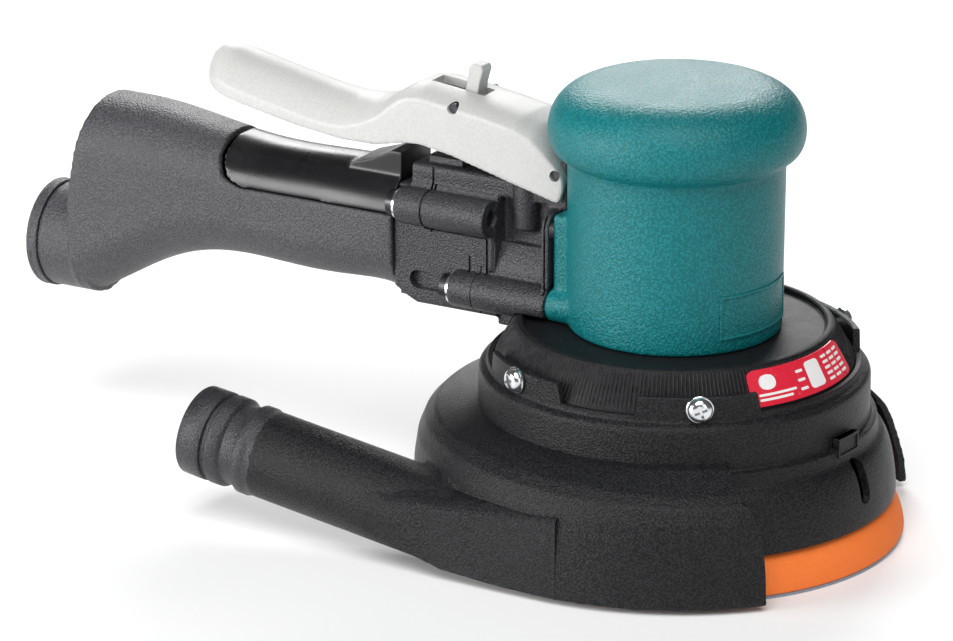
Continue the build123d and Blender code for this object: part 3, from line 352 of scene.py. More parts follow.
# --- shader tools ---------------------------------------------------------------------------------
def add(tree, kind, inputs=None, **settings):
    """A node with its settings and inputs; an input may be a value or another node's socket."""
    node = tree.nodes.new(kind)
    for key, value in settings.items():
        setattr(node, key, value)
    for key, value in (inputs or {}).items():
        socket = node.inputs[key]
        if isinstance(value, bpy.types.NodeSocket):
            tree.links.new(value, socket)
        else:
            socket.default_value = value
    return node


def group_tree(name, inputs, outputs):
    """An empty shader group with named float, vector or colour sockets."""
    tree = bpy.data.node_groups.new(name, "ShaderNodeTree")
    for label, kind, value in inputs:
        socket = tree.interface.new_socket(label, in_out="INPUT", socket_type=kind)
        if value is not None:
            socket.default_value = value
    for label, kind in outputs:
        tree.interface.new_socket(label, in_out="OUTPUT", socket_type=kind)
    source = tree.nodes.new("NodeGroupInput").outputs
    sink = tree.nodes.new("NodeGroupOutput").inputs
    return tree, source, sink


FLOAT = "NodeSocketFloat"
VECTOR = "NodeSocketVector"


def math_node(tree, operation, first, second):
    return add(tree, "ShaderNodeMath", {0: first, 1: second}, operation=operation).outputs[0]


def ramp(tree, value, low, high, to_low=0.0, to_high=1.0):
    """A value rescaled from one range to another, and clamped."""
    inputs = {"Value": value, "From Min": low, "From Max": high, "To Min": to_low, "To Max": to_high}
    return add(tree, "ShaderNodeMapRange", inputs).outputs["Result"]


def noise(tree, vector, scale, detail=2.0, roughness=0.5):
    inputs = {"Vector": vector, "Scale": scale, "Detail": detail, "Roughness": roughness}
    return add(tree, "ShaderNodeTexNoise", inputs).outputs["Fac"]


def moulded_grain():
    """Pebbled texture of a spark-eroded mould; its second output is high on the raised pebble tops, where glints are
    painted.
    """
    inputs = [("Vector", VECTOR, None), ("Scale", FLOAT, 1000.0), ("Mix", FLOAT, 0.5)]
    tree, source, sink = group_tree("Moulded Grain", inputs, [("Height", FLOAT), ("Painted Glints", FLOAT)])
    cells = add(tree, "ShaderNodeTexVoronoi", {"Vector": source["Vector"], "Scale": source["Scale"], "Smoothness": 0.6},
                feature="SMOOTH_F1")
    pebbles = ramp(tree, cells.outputs["Distance"], 0.05, 0.75, 1.0, 0.0)
    fine_scale = math_node(tree, "MULTIPLY", source["Scale"], 1.9)
    fine = noise(tree, source["Vector"], fine_scale, 3.0, 0.6)
    mixed = add(tree, "ShaderNodeMix", {"Factor": source["Mix"], "A": pebbles, "B": fine}).outputs["Result"]
    tree.links.new(mixed, sink["Height"])
    # This mask is high on the raised pebble tops, where the glints are painted.
    tree.links.new(ramp(tree, mixed, 0.38, 0.60), sink["Painted Glints"])
    return tree


def edge_wear():
    """Mask of rubbed edges, broken up by noise."""
    inputs = [("Vector", VECTOR, None), ("Reach", FLOAT, 0.53), ("Breakup", FLOAT, 350.0), ("Amount", FLOAT, 0.5)]
    tree, source, sink = group_tree("Edge Wear", inputs, [("Mask", FLOAT)])
    geometry = tree.nodes.new("ShaderNodeNewGeometry")
    high = math_node(tree, "ADD", source["Reach"], 0.07)
    edges = ramp(tree, geometry.outputs["Pointiness"], source["Reach"], high)
    broken = ramp(tree, noise(tree, source["Vector"], source["Breakup"], 4.0, 0.65), 0.38, 0.62)
    mask = math_node(tree, "MULTIPLY", math_node(tree, "MULTIPLY", edges, broken), source["Amount"])
    tree.links.new(mask, sink["Mask"])
    return tree


def dust_film():
    """Mask of fine dust on faces that look up."""
    inputs = [("Vector", VECTOR, None), ("Scale", FLOAT, 60.0), ("Amount", FLOAT, 0.3)]
    tree, source, sink = group_tree("Dust Film", inputs, [("Mask", FLOAT)])
    geometry = tree.nodes.new("ShaderNodeNewGeometry")
    up = add(tree, "ShaderNodeSeparateXYZ", {"Vector": geometry.outputs["Normal"]}).outputs["Z"]
    facing = ramp(tree, up, 0.1, 0.95)
    patchy = ramp(tree, noise(tree, source["Vector"], source["Scale"], 5.0, 0.6), 0.35, 0.75)
    mask = math_node(tree, "MULTIPLY", math_node(tree, "MULTIPLY", facing, patchy), source["Amount"])
    tree.links.new(mask, sink["Mask"])
    return tree


def handling_marks():
    """Roughness that varies where hands and cloths have rubbed."""
    inputs = [("Vector", VECTOR, None), ("Scale", FLOAT, 40.0), ("Smooth", FLOAT, 0.35), ("Rough", FLOAT, 0.6)]
    tree, source, sink = group_tree("Handling Marks", inputs, [("Roughness", FLOAT)])
    smear = noise(tree, source["Vector"], source["Scale"], 4.0, 0.6)
    spread = ramp(tree, smear, 0.3, 0.7)
    mixed = add(tree, "ShaderNodeMix", {"Factor": spread, "A": source["Smooth"], "B": source["Rough"]})
    tree.links.new(mixed.outputs["Result"], sink["Roughness"])
    return tree


def brushing():
    """Fine turned or drawn lines on metal."""
    inputs = [("Vector", VECTOR, None), ("Scale", FLOAT, 900.0)]
    tree, source, sink = group_tree("Brushing", inputs, [("Height", FLOAT)])
    stretched = add(tree, "ShaderNodeVectorMath", {0: source["Vector"], 1: (0.06, 0.06, 1.0)}, operation="MULTIPLY")
    lines = noise(tree, stretched.outputs[0], source["Scale"], 3.0, 0.6)
    tree.links.new(lines, sink["Height"])
    return tree


SHADER_GROUPS = {}


def shared(name):
    """One of the shared effect groups, built the first time it is asked for."""
    makers = {
        "grain": moulded_grain,
        "wear": edge_wear,
        "dust": dust_film,
        "marks": handling_marks,
        "brushing": brushing,
    }
    if name not in SHADER_GROUPS:
        SHADER_GROUPS[name] = makers[name]()
    return SHADER_GROUPS[name]


def use_group(tree, name, inputs):
    node = tree.nodes.new("ShaderNodeGroup")
    node.node_tree = shared(name)
    for key, value in inputs.items():
        if isinstance(value, bpy.types.NodeSocket):
            tree.links.new(value, node.inputs[key])
        else:
            node.inputs[key].default_value = value
    return node.outputs


def new_material(name, **constants):
    """A material with one Principled shader whose plain values are set on its own sockets."""
    material = bpy.data.materials.new(name)
    material.use_nodes = True
    tree = material.node_tree
    shader = tree.nodes["Principled BSDF"]
    for key, value in constants.items():
        shader.inputs[key.replace("_", " ")].default_value = value
    place = tree.nodes.new("ShaderNodeTexCoord").outputs["Object"]
    return material, tree, shader, place


def tint(tree, base, other, mask):
    """A colour that turns into another where a mask is high."""
    inputs = {"Factor": mask, "A": (*base, 1.0) if not isinstance(base, bpy.types.NodeSocket) else base,
              "B": (*other, 1.0)}
    node = tree.nodes.new("ShaderNodeMix")
    node.data_type = "RGBA"
    sockets = {"Factor": node.inputs[0], "A": node.inputs[6], "B": node.inputs[7]}
    for key, value in inputs.items():
        if isinstance(value, bpy.types.NodeSocket):
            tree.links.new(value, sockets[key])
        else:
            sockets[key].default_value = value
    return node.outputs[2]


def bump(tree, shader, height, distance, strength=1.0):
    node = add(tree, "ShaderNodeBump", {"Height": height, "Distance": distance, "Strength": strength})
    tree.links.new(node.outputs["Normal"], shader.inputs["Normal"])


def moulded_plastic(name, base, grain, relief, smooth, rough, worn, wear=0.25, dust=0.03, glint_speck=0.25, mix=0.45,
                    gloss=0.42):
    """Textured moulded plastic with painted glints on its pebble tops, handling marks, rubbed edges and a little dust.
    """
    material, tree, shader, place = new_material(name, Specular_IOR_Level=gloss)
    texture = use_group(tree, "grain", {"Vector": place, "Scale": 1.0 / grain, "Mix": mix})
    rubbed = use_group(tree, "wear", {"Vector": place, "Amount": wear})["Mask"]
    film = use_group(tree, "dust", {"Vector": place, "Amount": dust})["Mask"]
    # The raised pebble tops are tinted lighter here: painted glints of the grain.
    glint_colour = tuple(min(1.0, channel * 1.9 + 0.016) for channel in base)
    with_glints = tint(tree, base, glint_colour, math_node(tree, "MULTIPLY", texture["Painted Glints"], glint_speck))
    worn_colour = tint(tree, with_glints, worn, rubbed)
    dusty = tint(tree, worn_colour, (0.42, 0.41, 0.39), film)
    marks = use_group(tree, "marks", {"Vector": place, "Smooth": smooth, "Rough": rough})["Roughness"]
    tree.links.new(dusty, shader.inputs["Base Color"])
    tree.links.new(marks, shader.inputs["Roughness"])
    bump(tree, shader, texture["Height"], relief)
    return material


def metal(name, base, smooth, rough, lines=900.0, relief=0.00002):
    """Machined or plated metal with fine lines and stains."""
    material, tree, shader, place = new_material(name, Metallic=1.0)
    marks = use_group(tree, "marks", {"Vector": place, "Scale": 220.0, "Smooth": smooth, "Rough": rough})["Roughness"]
    stain = ramp(tree, noise(tree, place, 160.0, 4.0, 0.6), 0.45, 0.8, 0.0, 0.35)
    darker = tuple(channel * 0.62 for channel in base)
    tree.links.new(tint(tree, base, darker, stain), shader.inputs["Base Color"])
    tree.links.new(marks, shader.inputs["Roughness"])
    bump(tree, shader, use_group(tree, "brushing", {"Vector": place, "Scale": lines})["Height"], relief)
    return material


def foam_material():
    """Closed-cell foam: a fine skin with open pores on the cut edge."""
    base = tuple(finish_of().foam_orange)
    material, tree, shader, place = new_material("pad_foam", Specular_IOR_Level=0.25)
    pores = add(tree, "ShaderNodeTexVoronoi", {"Vector": place, "Scale": 1500.0}).outputs["Distance"]
    open_pores = ramp(tree, pores, 0.0, 0.32, 1.0, 0.0)
    patches = ramp(tree, noise(tree, place, 90.0, 4.0, 0.6), 0.35, 0.7)
    deep = tuple(channel * 0.70 for channel in base)
    shade = tint(tree, base, deep, math_node(tree, "MULTIPLY", open_pores, 0.7))
    pale = tuple(min(1.0, channel * 1.05 + 0.03) for channel in base)
    tree.links.new(tint(tree, shade, pale, math_node(tree, "MULTIPLY", patches, 0.3)), shader.inputs["Base Color"])
    tree.links.new(ramp(tree, patches, 0.0, 1.0, 0.62, 0.8), shader.inputs["Roughness"])
    height = math_node(tree, "MULTIPLY", open_pores, -1.0)
    bump(tree, shader, height, 0.00012)
    return material


def pile_material(name, base, scale):
    """Short pile or felt."""
    material, tree, shader, place = new_material(name, Specular_IOR_Level=0.2, Sheen_Weight=0.3)
    fibres = noise(tree, place, scale, 5.0, 0.7)
    dark = tuple(channel * 0.5 for channel in base)
    tree.links.new(tint(tree, dark, base, ramp(tree, fibres, 0.35, 0.65)), shader.inputs["Base Color"])
    tree.links.new(ramp(tree, fibres, 0.3, 0.7, 0.75, 0.95), shader.inputs["Roughness"])
    bump(tree, shader, fibres, 0.0002)
    return material


def foil_material(name, base):
    """Printed foil: smooth, slightly orange-peeled, with faint scuffs."""
    material, tree, shader, place = new_material(name, Coat_Weight=0.25, Coat_Roughness=0.15)
    scuffs = ramp(tree, noise(tree, place, 700.0, 4.0, 0.7), 0.62, 0.72, 0.0, 0.25)
    tree.links.new(tint(tree, base, (0.6, 0.58, 0.56), scuffs), shader.inputs["Base Color"])
    marks = use_group(tree, "marks", {"Vector": place, "Scale": 90.0, "Smooth": 0.22, "Rough": 0.4})
    tree.links.new(marks["Roughness"], shader.inputs["Roughness"])
    bump(tree, shader, noise(tree, place, 500.0, 2.0), 0.00002)
    return material


MATERIALS = {}


def material(name):
    """A finish by name, built the first time it is asked for."""
    if name in MATERIALS:
        return MATERIALS[name]
    finish = finish_of()
    black = tuple(finish.black)
    grey = tuple(finish.lever_grey)
    makers = {
        "teal_soft": lambda: moulded_plastic("teal_soft", tuple(finish.teal), finish.pebble, 0.00028, 0.32, 0.44,
                                             (0.05, 0.42, 0.42), wear=0.25, dust=0.0, glint_speck=0.5, gloss=0.28),
        "black_grain": lambda: moulded_plastic("black_grain", black, finish.grain, 0.00030, 0.32, 0.44,
                                               (0.05, 0.05, 0.055), wear=0.2, dust=0.0, glint_speck=0.8, gloss=0.22),
        # The sleeve's finish: the same black made lighter, painted light for the lit side of the handle.
        "grip_lit_grain": lambda: moulded_plastic("grip_lit_grain", tuple(finish.grip_lit_black), finish.grain, 0.00034, 0.34, 0.46,
                                              (0.10, 0.10, 0.11), wear=0.2, dust=0.0, glint_speck=1.0, gloss=0.5),
        "black_satin": lambda: moulded_plastic("black_satin", (0.004, 0.004, 0.005), 0.0011, 0.00003, 0.24, 0.34,
                                               (0.03, 0.03, 0.035), wear=0.2, dust=0.0, glint_speck=0.2, mix=0.8),
        # The valve body's and spigot nose's finish: a lighter black that paints in the light on the valve body's lit
        # side.
        "black_mould_lit": lambda: moulded_plastic("black_mould_lit", (0.018, 0.018, 0.021), 0.0006, 0.00026, 0.30, 0.42,
                                               (0.08, 0.08, 0.085), wear=0.3, dust=0.0, glint_speck=0.9, gloss=0.45),
        "black_cast": lambda: moulded_plastic("black_cast", (0.004, 0.004, 0.005), 0.0005, 0.00012, 0.45, 0.62,
                                              (0.06, 0.06, 0.065), wear=0.4, dust=0.0, glint_speck=0.6, gloss=0.2),
        "lever_plastic": lambda: moulded_plastic("lever_plastic", grey, 0.0009, 0.00003, 0.40, 0.52,
                                                 (0.80, 0.80, 0.78), wear=0.2, dust=0.02, glint_speck=0.1, mix=0.7),
        "rubber_black": lambda: moulded_plastic("rubber_black", (0.012, 0.012, 0.012), 0.0004, 0.00004, 0.5, 0.7,
                                                (0.04, 0.04, 0.04)),
        "plate_black": lambda: moulded_plastic("plate_black", (0.03, 0.03, 0.03), 0.0005, 0.00004, 0.4, 0.6,
                                               (0.09, 0.09, 0.09)),
        "vane_laminate": lambda: moulded_plastic("vane_laminate", (0.20, 0.10, 0.05), 0.0004, 0.00003, 0.4, 0.6,
                                                 (0.30, 0.18, 0.10)),
        "zinc_bright": lambda: metal("zinc_bright", (0.80, 0.82, 0.84), 0.12, 0.28, 500.0),
        "steel_machined": lambda: metal("steel_machined", (0.55, 0.56, 0.58), 0.22, 0.40),
        "steel_black": lambda: metal("steel_black", (0.06, 0.06, 0.065), 0.30, 0.50),
        "aluminium_machined": lambda: metal("aluminium_machined", (0.75, 0.76, 0.78), 0.25, 0.42),
        "brass_turned": lambda: metal("brass_turned", (0.72, 0.52, 0.22), 0.2, 0.36),
        "foam_orange": foam_material,
        "hook_pile": lambda: pile_material("hook_pile", tuple(finish.hook_grey), 2600.0),
        "felt_grey": lambda: pile_material("felt_grey", (0.30, 0.29, 0.27), 1200.0),
        "label_red": lambda: foil_material("label_red", tuple(finish.label_red)),
        "label_white": lambda: foil_material("label_white", tuple(finish.label_white)),
    }
    MATERIALS[name] = makers[name]()
    return MATERIALS[name]


# --- geometry-node tools --------------------------------------------------------------------------
def geometry_tree(name, inputs):
    """A Geometry Nodes tree with a mesh in and out, and named inputs."""
    tree = bpy.data.node_groups.new(name, "GeometryNodeTree")
    tree.interface.new_socket("Geometry", in_out="INPUT", socket_type="NodeSocketGeometry")
    for label, kind in inputs:
        tree.interface.new_socket(label, in_out="INPUT", socket_type=kind)
    tree.interface.new_socket("Geometry", in_out="OUTPUT", socket_type="NodeSocketGeometry")
    source = tree.nodes.new("NodeGroupInput").outputs
    sink = tree.nodes.new("NodeGroupOutput").inputs
    return tree, source, sink


def ring_tree():
    """Turns the incoming mesh into a ring of copies about the Z axis, with its finish set."""
    inputs = [("Count", "NodeSocketInt"), ("First Angle", FLOAT), ("Step Angle", FLOAT)]
    inputs.append(("Finish", "NodeSocketMaterial"))
    tree, source, sink = geometry_tree("Ring Of Copies", inputs)
    points = add(tree, "GeometryNodeMeshLine", {"Count": source["Count"], "Offset": (0.0, 0.0, 0.0)})
    index = tree.nodes.new("GeometryNodeInputIndex").outputs["Index"]
    turn = add(tree, "ShaderNodeMath", {0: index, 1: source["Step Angle"], 2: source["First Angle"]},
                   operation="MULTIPLY_ADD").outputs[0]
    euler = add(tree, "ShaderNodeCombineXYZ", {"Z": turn}).outputs[0]
    copies = add(tree, "GeometryNodeInstanceOnPoints",
                     {"Points": points.outputs["Mesh"], "Instance": source["Geometry"], "Rotation": euler})
    real = add(tree, "GeometryNodeRealizeInstances", {"Geometry": copies.outputs["Instances"]})
    finished = add(tree, "GeometryNodeSetMaterial",
                       {"Geometry": real.outputs["Geometry"], "Material": source["Finish"]})
    tree.links.new(finished.outputs["Geometry"], sink["Geometry"])
    return tree


def run_tree(mesh, tree, values):
    """The plain mesh that a Geometry Nodes tree gives for a mesh; inputs are set by identifier."""
    piece = placed("pattern", mesh)
    change = piece.modifiers.new("pattern", "NODES")
    change.node_group = tree
    sockets = {item.name: item.identifier for item in tree.interface.items_tree if item.in_out == "INPUT"}
    for label, value in values.items():
        change[sockets[label]] = value
    return baked(piece)


TREES = {}


def ring_of(mesh, count, first_angle, step_angle, finish):
    """Copies of a mesh round the motor axis; angles in degrees."""
    if "ring" not in TREES:
        TREES["ring"] = ring_tree()
    values = {
        "Count": count,
        "First Angle": math.radians(first_angle),
        "Step Angle": math.radians(step_angle),
        "Finish": material(finish),
    }
    return run_tree(mesh, TREES["ring"], values)


# --- palm housing ---------------------------------------------------------------------------------
SADDLE_X = -36.6


def palm_outline():
    """Half outline of the teal housing: foot, wall, neck, head and crown."""
    foot_z = HOUSING_LOW[2]
    top_z = HOUSING_HIGH[2]
    outline = [(33.0, foot_z), (35.2, foot_z)]
    outline += bezier([(35.2, foot_z), (35.8, foot_z), (36.0, foot_z + 0.3), (36.0, foot_z + 1.0)], 5)
    outline += [(36.0, foot_z + 1.0), (36.15, 95.0), (36.4, 126.0)]
    outline += bezier([(36.5, 128.6), (36.6, 129.8), (36.9, 130.2), (37.6, 130.4)], 6)
    outline += bezier([(37.6, 130.4), (41.2, 131.2), (43.0, 134.6), (43.0, 139.4)], 18)
    outline += bezier([(43.0, 139.4), (43.0, 147.6), (37.4, top_z - 2.3), (28.5, top_z - 1.0)], 24)
    outline += bezier([(28.5, top_z - 1.0), (19.0, top_z - 0.1), (8.0, top_z), (0.0, top_z)], 14)
    outline.append((0.0, top_z))
    return outline


def palm_inside():
    """Inner outline of the housing, for its wall."""
    crown = [(0.0, 151.0), (26.0, 150.4), (36.0, 147.0), (39.2, 140.0), (38.0, 135.0)]
    return crown + [(33.0, 129.0), (33.0, 60.0), (0.0, 60.0)]


class SANDER_OT_palm_housing(bpy.types.Operator):
    """Teal housing that the palm rests on, with its saddle block, screw bosses and blank badge"""

    bl_idname = "sander.palm_housing"
    bl_label = "Palm housing"

    def execute(self, context):
        outline = palm_outline()
        solid = [(0.0, HOUSING_LOW[2])] + outline[1:]
        block_low = (SADDLE_X, -19.0, 73.0)
        parts = [turned_mesh(solid, 160), box_mesh(block_low, (-28.0, 19.0, 108.0))]
        for side in (-1, 1):
            start = (SADDLE_X - 0.4, side * 17.5, 76.2)
            parts.append(rod_mesh(5.4, start, (-24.0, side * 17.5, 77.0), end_radius=6.4))
            parts.append(ball_mesh(5.4, start, (0.45, 1.0, 1.0)))
        shell = moulded(joined(*parts), 0.0008, 5)
        shell = cut(shell, turned_mesh(palm_inside(), 96))
        bay = box_mesh((-45.0, -13.0, 108.2), (-34.4, 13.0, 127.0))
        shell = cut(shell, bay)
        show("palm_housing_shell", shell, [material("teal_soft")], "root", ["palm_housing"], 50)
        show("housing_badge", badge_mesh(), [material("teal_soft")], "root")
        return {"FINISHED"}


def wrapped(points, radius_at, thickness, grid=(24, 8)):
    """A thin closed plate wrapped round the motor axis.

    points gives (azimuth in degrees, height) for (u, v) in 0..1, and radius_at the surface under a height.
    """
    columns, rows = grid
    vertices = []
    for lift in (0.0, thickness):
        for row in range(rows + 1):
            for column in range(columns + 1):
                azimuth, height = points(column / columns, row / rows)
                radius = radius_at(height) + lift
                angle = math.radians(azimuth)
                vertices.append((radius * math.cos(angle), radius * math.sin(angle), height))
    layer = (rows + 1) * (columns + 1)
    faces = []
    for row in range(rows):
        for column in range(columns):
            corner = row * (columns + 1) + column
            quad = (corner, corner + 1, corner + columns + 2, corner + columns + 1)
            faces.append(tuple(reversed(quad)))
            faces.append(tuple(layer + index for index in quad))
    rim = [column for column in range(columns)]
    rim += [row * (columns + 1) + columns for row in range(rows)]
    rim += [rows * (columns + 1) + column for column in range(columns, 0, -1)]
    rim += [row * (columns + 1) for row in range(rows, 0, -1)]
    for index, start in enumerate(rim):
        after = rim[(index + 1) % len(rim)]
        faces.append((start, after, layer + after, layer + start))
    return outward(mesh_from(vertices, faces))


def round_cornered(azimuths, heights, corner):
    """Maps (u, v) to a patch whose corners are pulled in, as (azimuth, height)."""
    def place(u, v):
        low, high = azimuths
        bottom, top = heights
        height = bottom + (top - bottom) * v
        gap = min(height - bottom, top - height)
        inset = 0.0
        if gap < corner:
            inset = corner - math.sqrt(max(0.0, corner**2 - (corner - gap) ** 2))
        inset_deg = math.degrees(inset / 45.0)
        return low + inset_deg + (high - low - 2 * inset_deg) * u, height
    return place


def badge_mesh():
    """A blank raised frame low on the housing's front."""
    def radius_at(_height):
        return 35.9
    azimuths = (-38.0, 20.0)
    heights = (76.0, 91.0)
    plate = wrapped(round_cornered(azimuths, heights, 1.5), radius_at, 0.30, (40, 12))
    bars = []
    for low, high in ((heights[0], heights[0] + 0.9), (heights[1] - 0.9, heights[1])):
        bars.append(wrapped(round_cornered(azimuths, (low, high), 0.4), radius_at, 0.62, (40, 3)))
    for low, high in ((azimuths[0], azimuths[0] + 1.5), (azimuths[1] - 1.5, azimuths[1])):
        bars.append(wrapped(round_cornered((low, high), heights, 0.6), radius_at, 0.62, (3, 14)))
    return joined(plate, *bars)


# --- gear case and label --------------------------------------------------------------------------
CONE = ((60.4, 60.0), (53.0, 72.6))


def cone_radius(height):
    """Outer radius of the gear case's cone at a height."""
    (low_r, low_z), (high_r, high_z) = CONE
    share = (height - low_z) / (high_z - low_z)
    return low_r + (high_r - low_r) * share


class SANDER_OT_gear_case(bpy.types.Operator):
    """Black gear case with fine ridges round its cone"""

    bl_idname = "sander.gear_case"
    bl_label = "Gear case"

    def execute(self, context):
        (low_r, low_z), (high_r, high_z) = CONE
        deck_z = high_z - 1.8
        outline = [(34.2, CASE_FOOT_Z), (37.6, CASE_FOOT_Z), (38.0, CASE_FOOT_Z + 0.4), (38.0, 66.0), (49.0, 66.0)]
        outline += [(56.0, 60.0), (56.0, 50.0), (60.1, 50.0), (low_r, 50.3), (low_r, low_z)]
        outline += [(high_r + 0.7, high_z - 1.2), (high_r + 0.1, high_z - 0.3), (high_r - 0.6, high_z)]
        outline += [(high_r - 1.6, high_z), (high_r - 2.2, high_z - 0.5), (high_r - 2.4, deck_z + 0.5)]
        outline += [(high_r - 3.0, deck_z), (30.0, deck_z), (7.0, deck_z), (7.0, 66.0), (34.2, 66.0)]
        show("gear_case_body", turned_mesh(outline, 192), [material("black_cast")], "root",
             ["gear_case"], 32)
        count = sizes_of().case_ridges
        pieces = ring_of(self.ridge(), count, 0.0, 360.0 / count, "black_cast")
        show("gear_case_ridges", pieces, [material("black_cast")], "root", (), 40)
        return {"FINISHED"}

    def ridge(self):
        """One ridge down the cone, a flat bar with a rounded crest."""
        lift = sizes_of().ridge_height / MM
        half = math.pi * 57.0 / sizes_of().case_ridges * 0.48
        rings = []
        for height, share in ((60.2, 0.0), (61.4, 1.0), (66.0, 1.0), (70.6, 1.0), (71.6, 0.0)):
            radius = cone_radius(height)
            crest = radius + lift * share
            rings.append([(radius - 0.4, -half, height), (radius, -half, height), (crest, 0.0, height),
                          (radius, half, height), (radius - 0.4, half, height)])
        return lofted(rings)


class SANDER_OT_label(bpy.types.Operator):
    """Red foil label on the gear case, with plain white panels and bars"""

    bl_idname = "sander.label"
    bl_label = "Label"

    def execute(self, context):
        low, high = (-37.0, 13.0)
        ground = wrapped(round_cornered((low, high), (60.4, 71.0), 2.2), self.surface, 0.45, (64, 24))
        show("label_ground", ground, [material("label_red")], "root", ["label_plate"], 40)
        marks = [wrapped(round_cornered((-12.5, -5.0), (61.8, 69.8), 1.0), self.surface, 0.50, (12, 16))]
        marks.append(wrapped(round_cornered((-33.0, -26.5), (65.0, 69.4), 2.1), self.surface, 0.50, (12, 16)))
        for index in range(2):
            bottom = 61.9 + index * 1.4
            marks.append(wrapped(round_cornered((-34.0, -21.0 + 2 * index), (bottom, bottom + 0.7), 0.2),
                                 self.surface, 0.50, (14, 2)))
        for index in range(3):
            bottom = 62.4 + index * 2.6
            marks.append(wrapped(round_cornered((-17.5, -14.0), (bottom, bottom + 0.8), 0.2),
                                 self.surface, 0.50, (6, 2)))
        for column in range(3):
            for row in range(5):
                start = -2.5 + column * 4.6
                bottom = 61.9 + row * 1.7
                marks.append(wrapped(round_cornered((start, start + 3.6), (bottom, bottom + 0.8), 0.2),
                                     self.surface, 0.50, (6, 2)))
        show("label_print", joined(*marks), [material("label_white")], "root", (), 40)
        return {"FINISHED"}

    def surface(self, height):
        return cone_radius(height) + 0.15


# --- shroud and skirt -----------------------------------------------------------------------------
SCREW_AZIMUTHS = (-117.5, -54.5, 54.5, 117.5)
SCREW_Z = 62.6
SLOT_AZIMUTHS = (-93.0, -3.0, 87.0, 177.0)
TAB_HALF = 18.0
TAB_SLANT = 1.4


def off_azimuth(azimuth, places):
    """Degrees from the nearest of several azimuths."""
    return min(abs((azimuth - place + 180.0) % 360.0 - 180.0) for place in places)


def shroud_profile(azimuth):
    """Section of the inner shroud: flared wall, band, collar, and a tab's height or the dip between tabs."""
    off = off_azimuth(azimuth, SCREW_AZIMUTHS)
    share = min(1.0, max(0.0, (off - TAB_HALF) / TAB_SLANT))
    rim = 66.4 + (59.6 - 66.4) * share
    outer = [(75.2, 14.4), (75.3, 14.9)]
    outer += bezier([(75.3, 14.9), (75.0, 22.0), (73.6, 30.0), (71.6, 33.2)], 8)
    outer += bezier([(71.6, 33.2), (71.2, 34.2), (70.4, 34.9), (69.4, 35.4)], 4)
    outer += [(69.4, 35.4), (68.7, 36.2), (68.5, 37.2), (68.4, 40.3), (68.2, 40.9), (67.5, 41.3), (66.5, 41.5)]
    outer += [(66.1, 41.9), (66.0, 42.8), (66.0, 54.4)]
    outer += bezier([(66.0, 54.4), (66.0, 56.2), (65.4, 56.7), (64.4, 57.2)], 5)
    outer += [(64.4, 57.2), (63.4, 57.7), (63.05, 58.3), (63.0, 58.9), (63.0, rim - 0.4), (62.6, rim)]
    inner = [(61.2, rim), (60.7, rim - 0.4), (60.6, 58.0), (63.4, 55.6), (63.6, 44.0), (63.6, 43.0), (66.0, 40.6)]
    inner += [(66.0, 37.0), (68.8, 33.0), (72.4, 22.0), (72.8, 15.0), (73.0, 14.4)]
    return outer + inner


def shroud_azimuths():
    """Columns of the shroud, closer together at the ends of its tabs."""
    columns = {round(step * 1.5, 2) for step in range(240)}
    for place in SCREW_AZIMUTHS:
        for side in (-1, 1):
            for extra in (TAB_HALF - 0.1, TAB_HALF + 0.1, TAB_HALF + TAB_SLANT - 0.1, TAB_HALF + TAB_SLANT + 0.1):
                columns.add(round((place + side * extra) % 360.0, 2))
    return sorted(columns)


def slot_cutter():
    """An upright obround through the shroud's wall at azimuth zero."""
    count = 16
    outline = []
    for index in range(2 * count):
        angle = math.pi * (index + 0.5) / count
        lift = 4.5 if angle < math.pi else -4.5
        outline.append((3.0 * math.cos(angle), 29.0 + lift + 3.0 * math.sin(angle)))
    return prism_mesh(outline, 64.0, 80.0)


class SANDER_OT_shroud(bpy.types.Operator):
    """Inner shroud with its screw tabs, dust slots and a small bracket above one slot"""

    bl_idname = "sander.shroud"
    bl_label = "Inner shroud"

    def execute(self, context):
        shell = lathe_mesh(shroud_profile, shroud_azimuths())
        for azimuth in SLOT_AZIMUTHS:
            shell = cut(shell, moved(slot_cutter(), Matrix.Rotation(math.radians(azimuth), 4, "Z")))
        for azimuth in SCREW_AZIMUTHS:
            hole = rod_mesh(2.2, (58.0, 0, SCREW_Z), (66.0, 0, SCREW_Z), 24)
            shell = cut(shell, moved(hole, Matrix.Rotation(math.radians(azimuth), 4, "Z")))
        show("inner_shroud_shell", joined(shell, self.bracket(-4.8)), [material("black_grain")], "root",
             ["inner_shroud"], 30)
        return {"FINISHED"}

    def bracket(self, azimuth):
        """A raised rectangle that bridges the collar and the band above a slot."""
        def radius_at(_height):
            return 66.6
        panel = round_cornered((azimuth - 5.2, azimuth + 5.2), (38.6, 45.2), 0.5)
        frame_parts = [wrapped(panel, radius_at, 2.0, (12, 6))]
        bars = [((-5.2, 5.2), (44.3, 45.2)), ((-5.2, 5.2), (38.6, 39.5))]
        bars += [((-5.2, -4.4), (38.6, 45.2)), ((4.4, 5.2), (38.6, 45.2))]
        for (low, high), heights in bars:
            span = (azimuth + low, azimuth + high)
            frame_parts.append(wrapped(round_cornered(span, heights, 0.2), radius_at, 2.5, (10, 3)))
        return joined(*frame_parts)


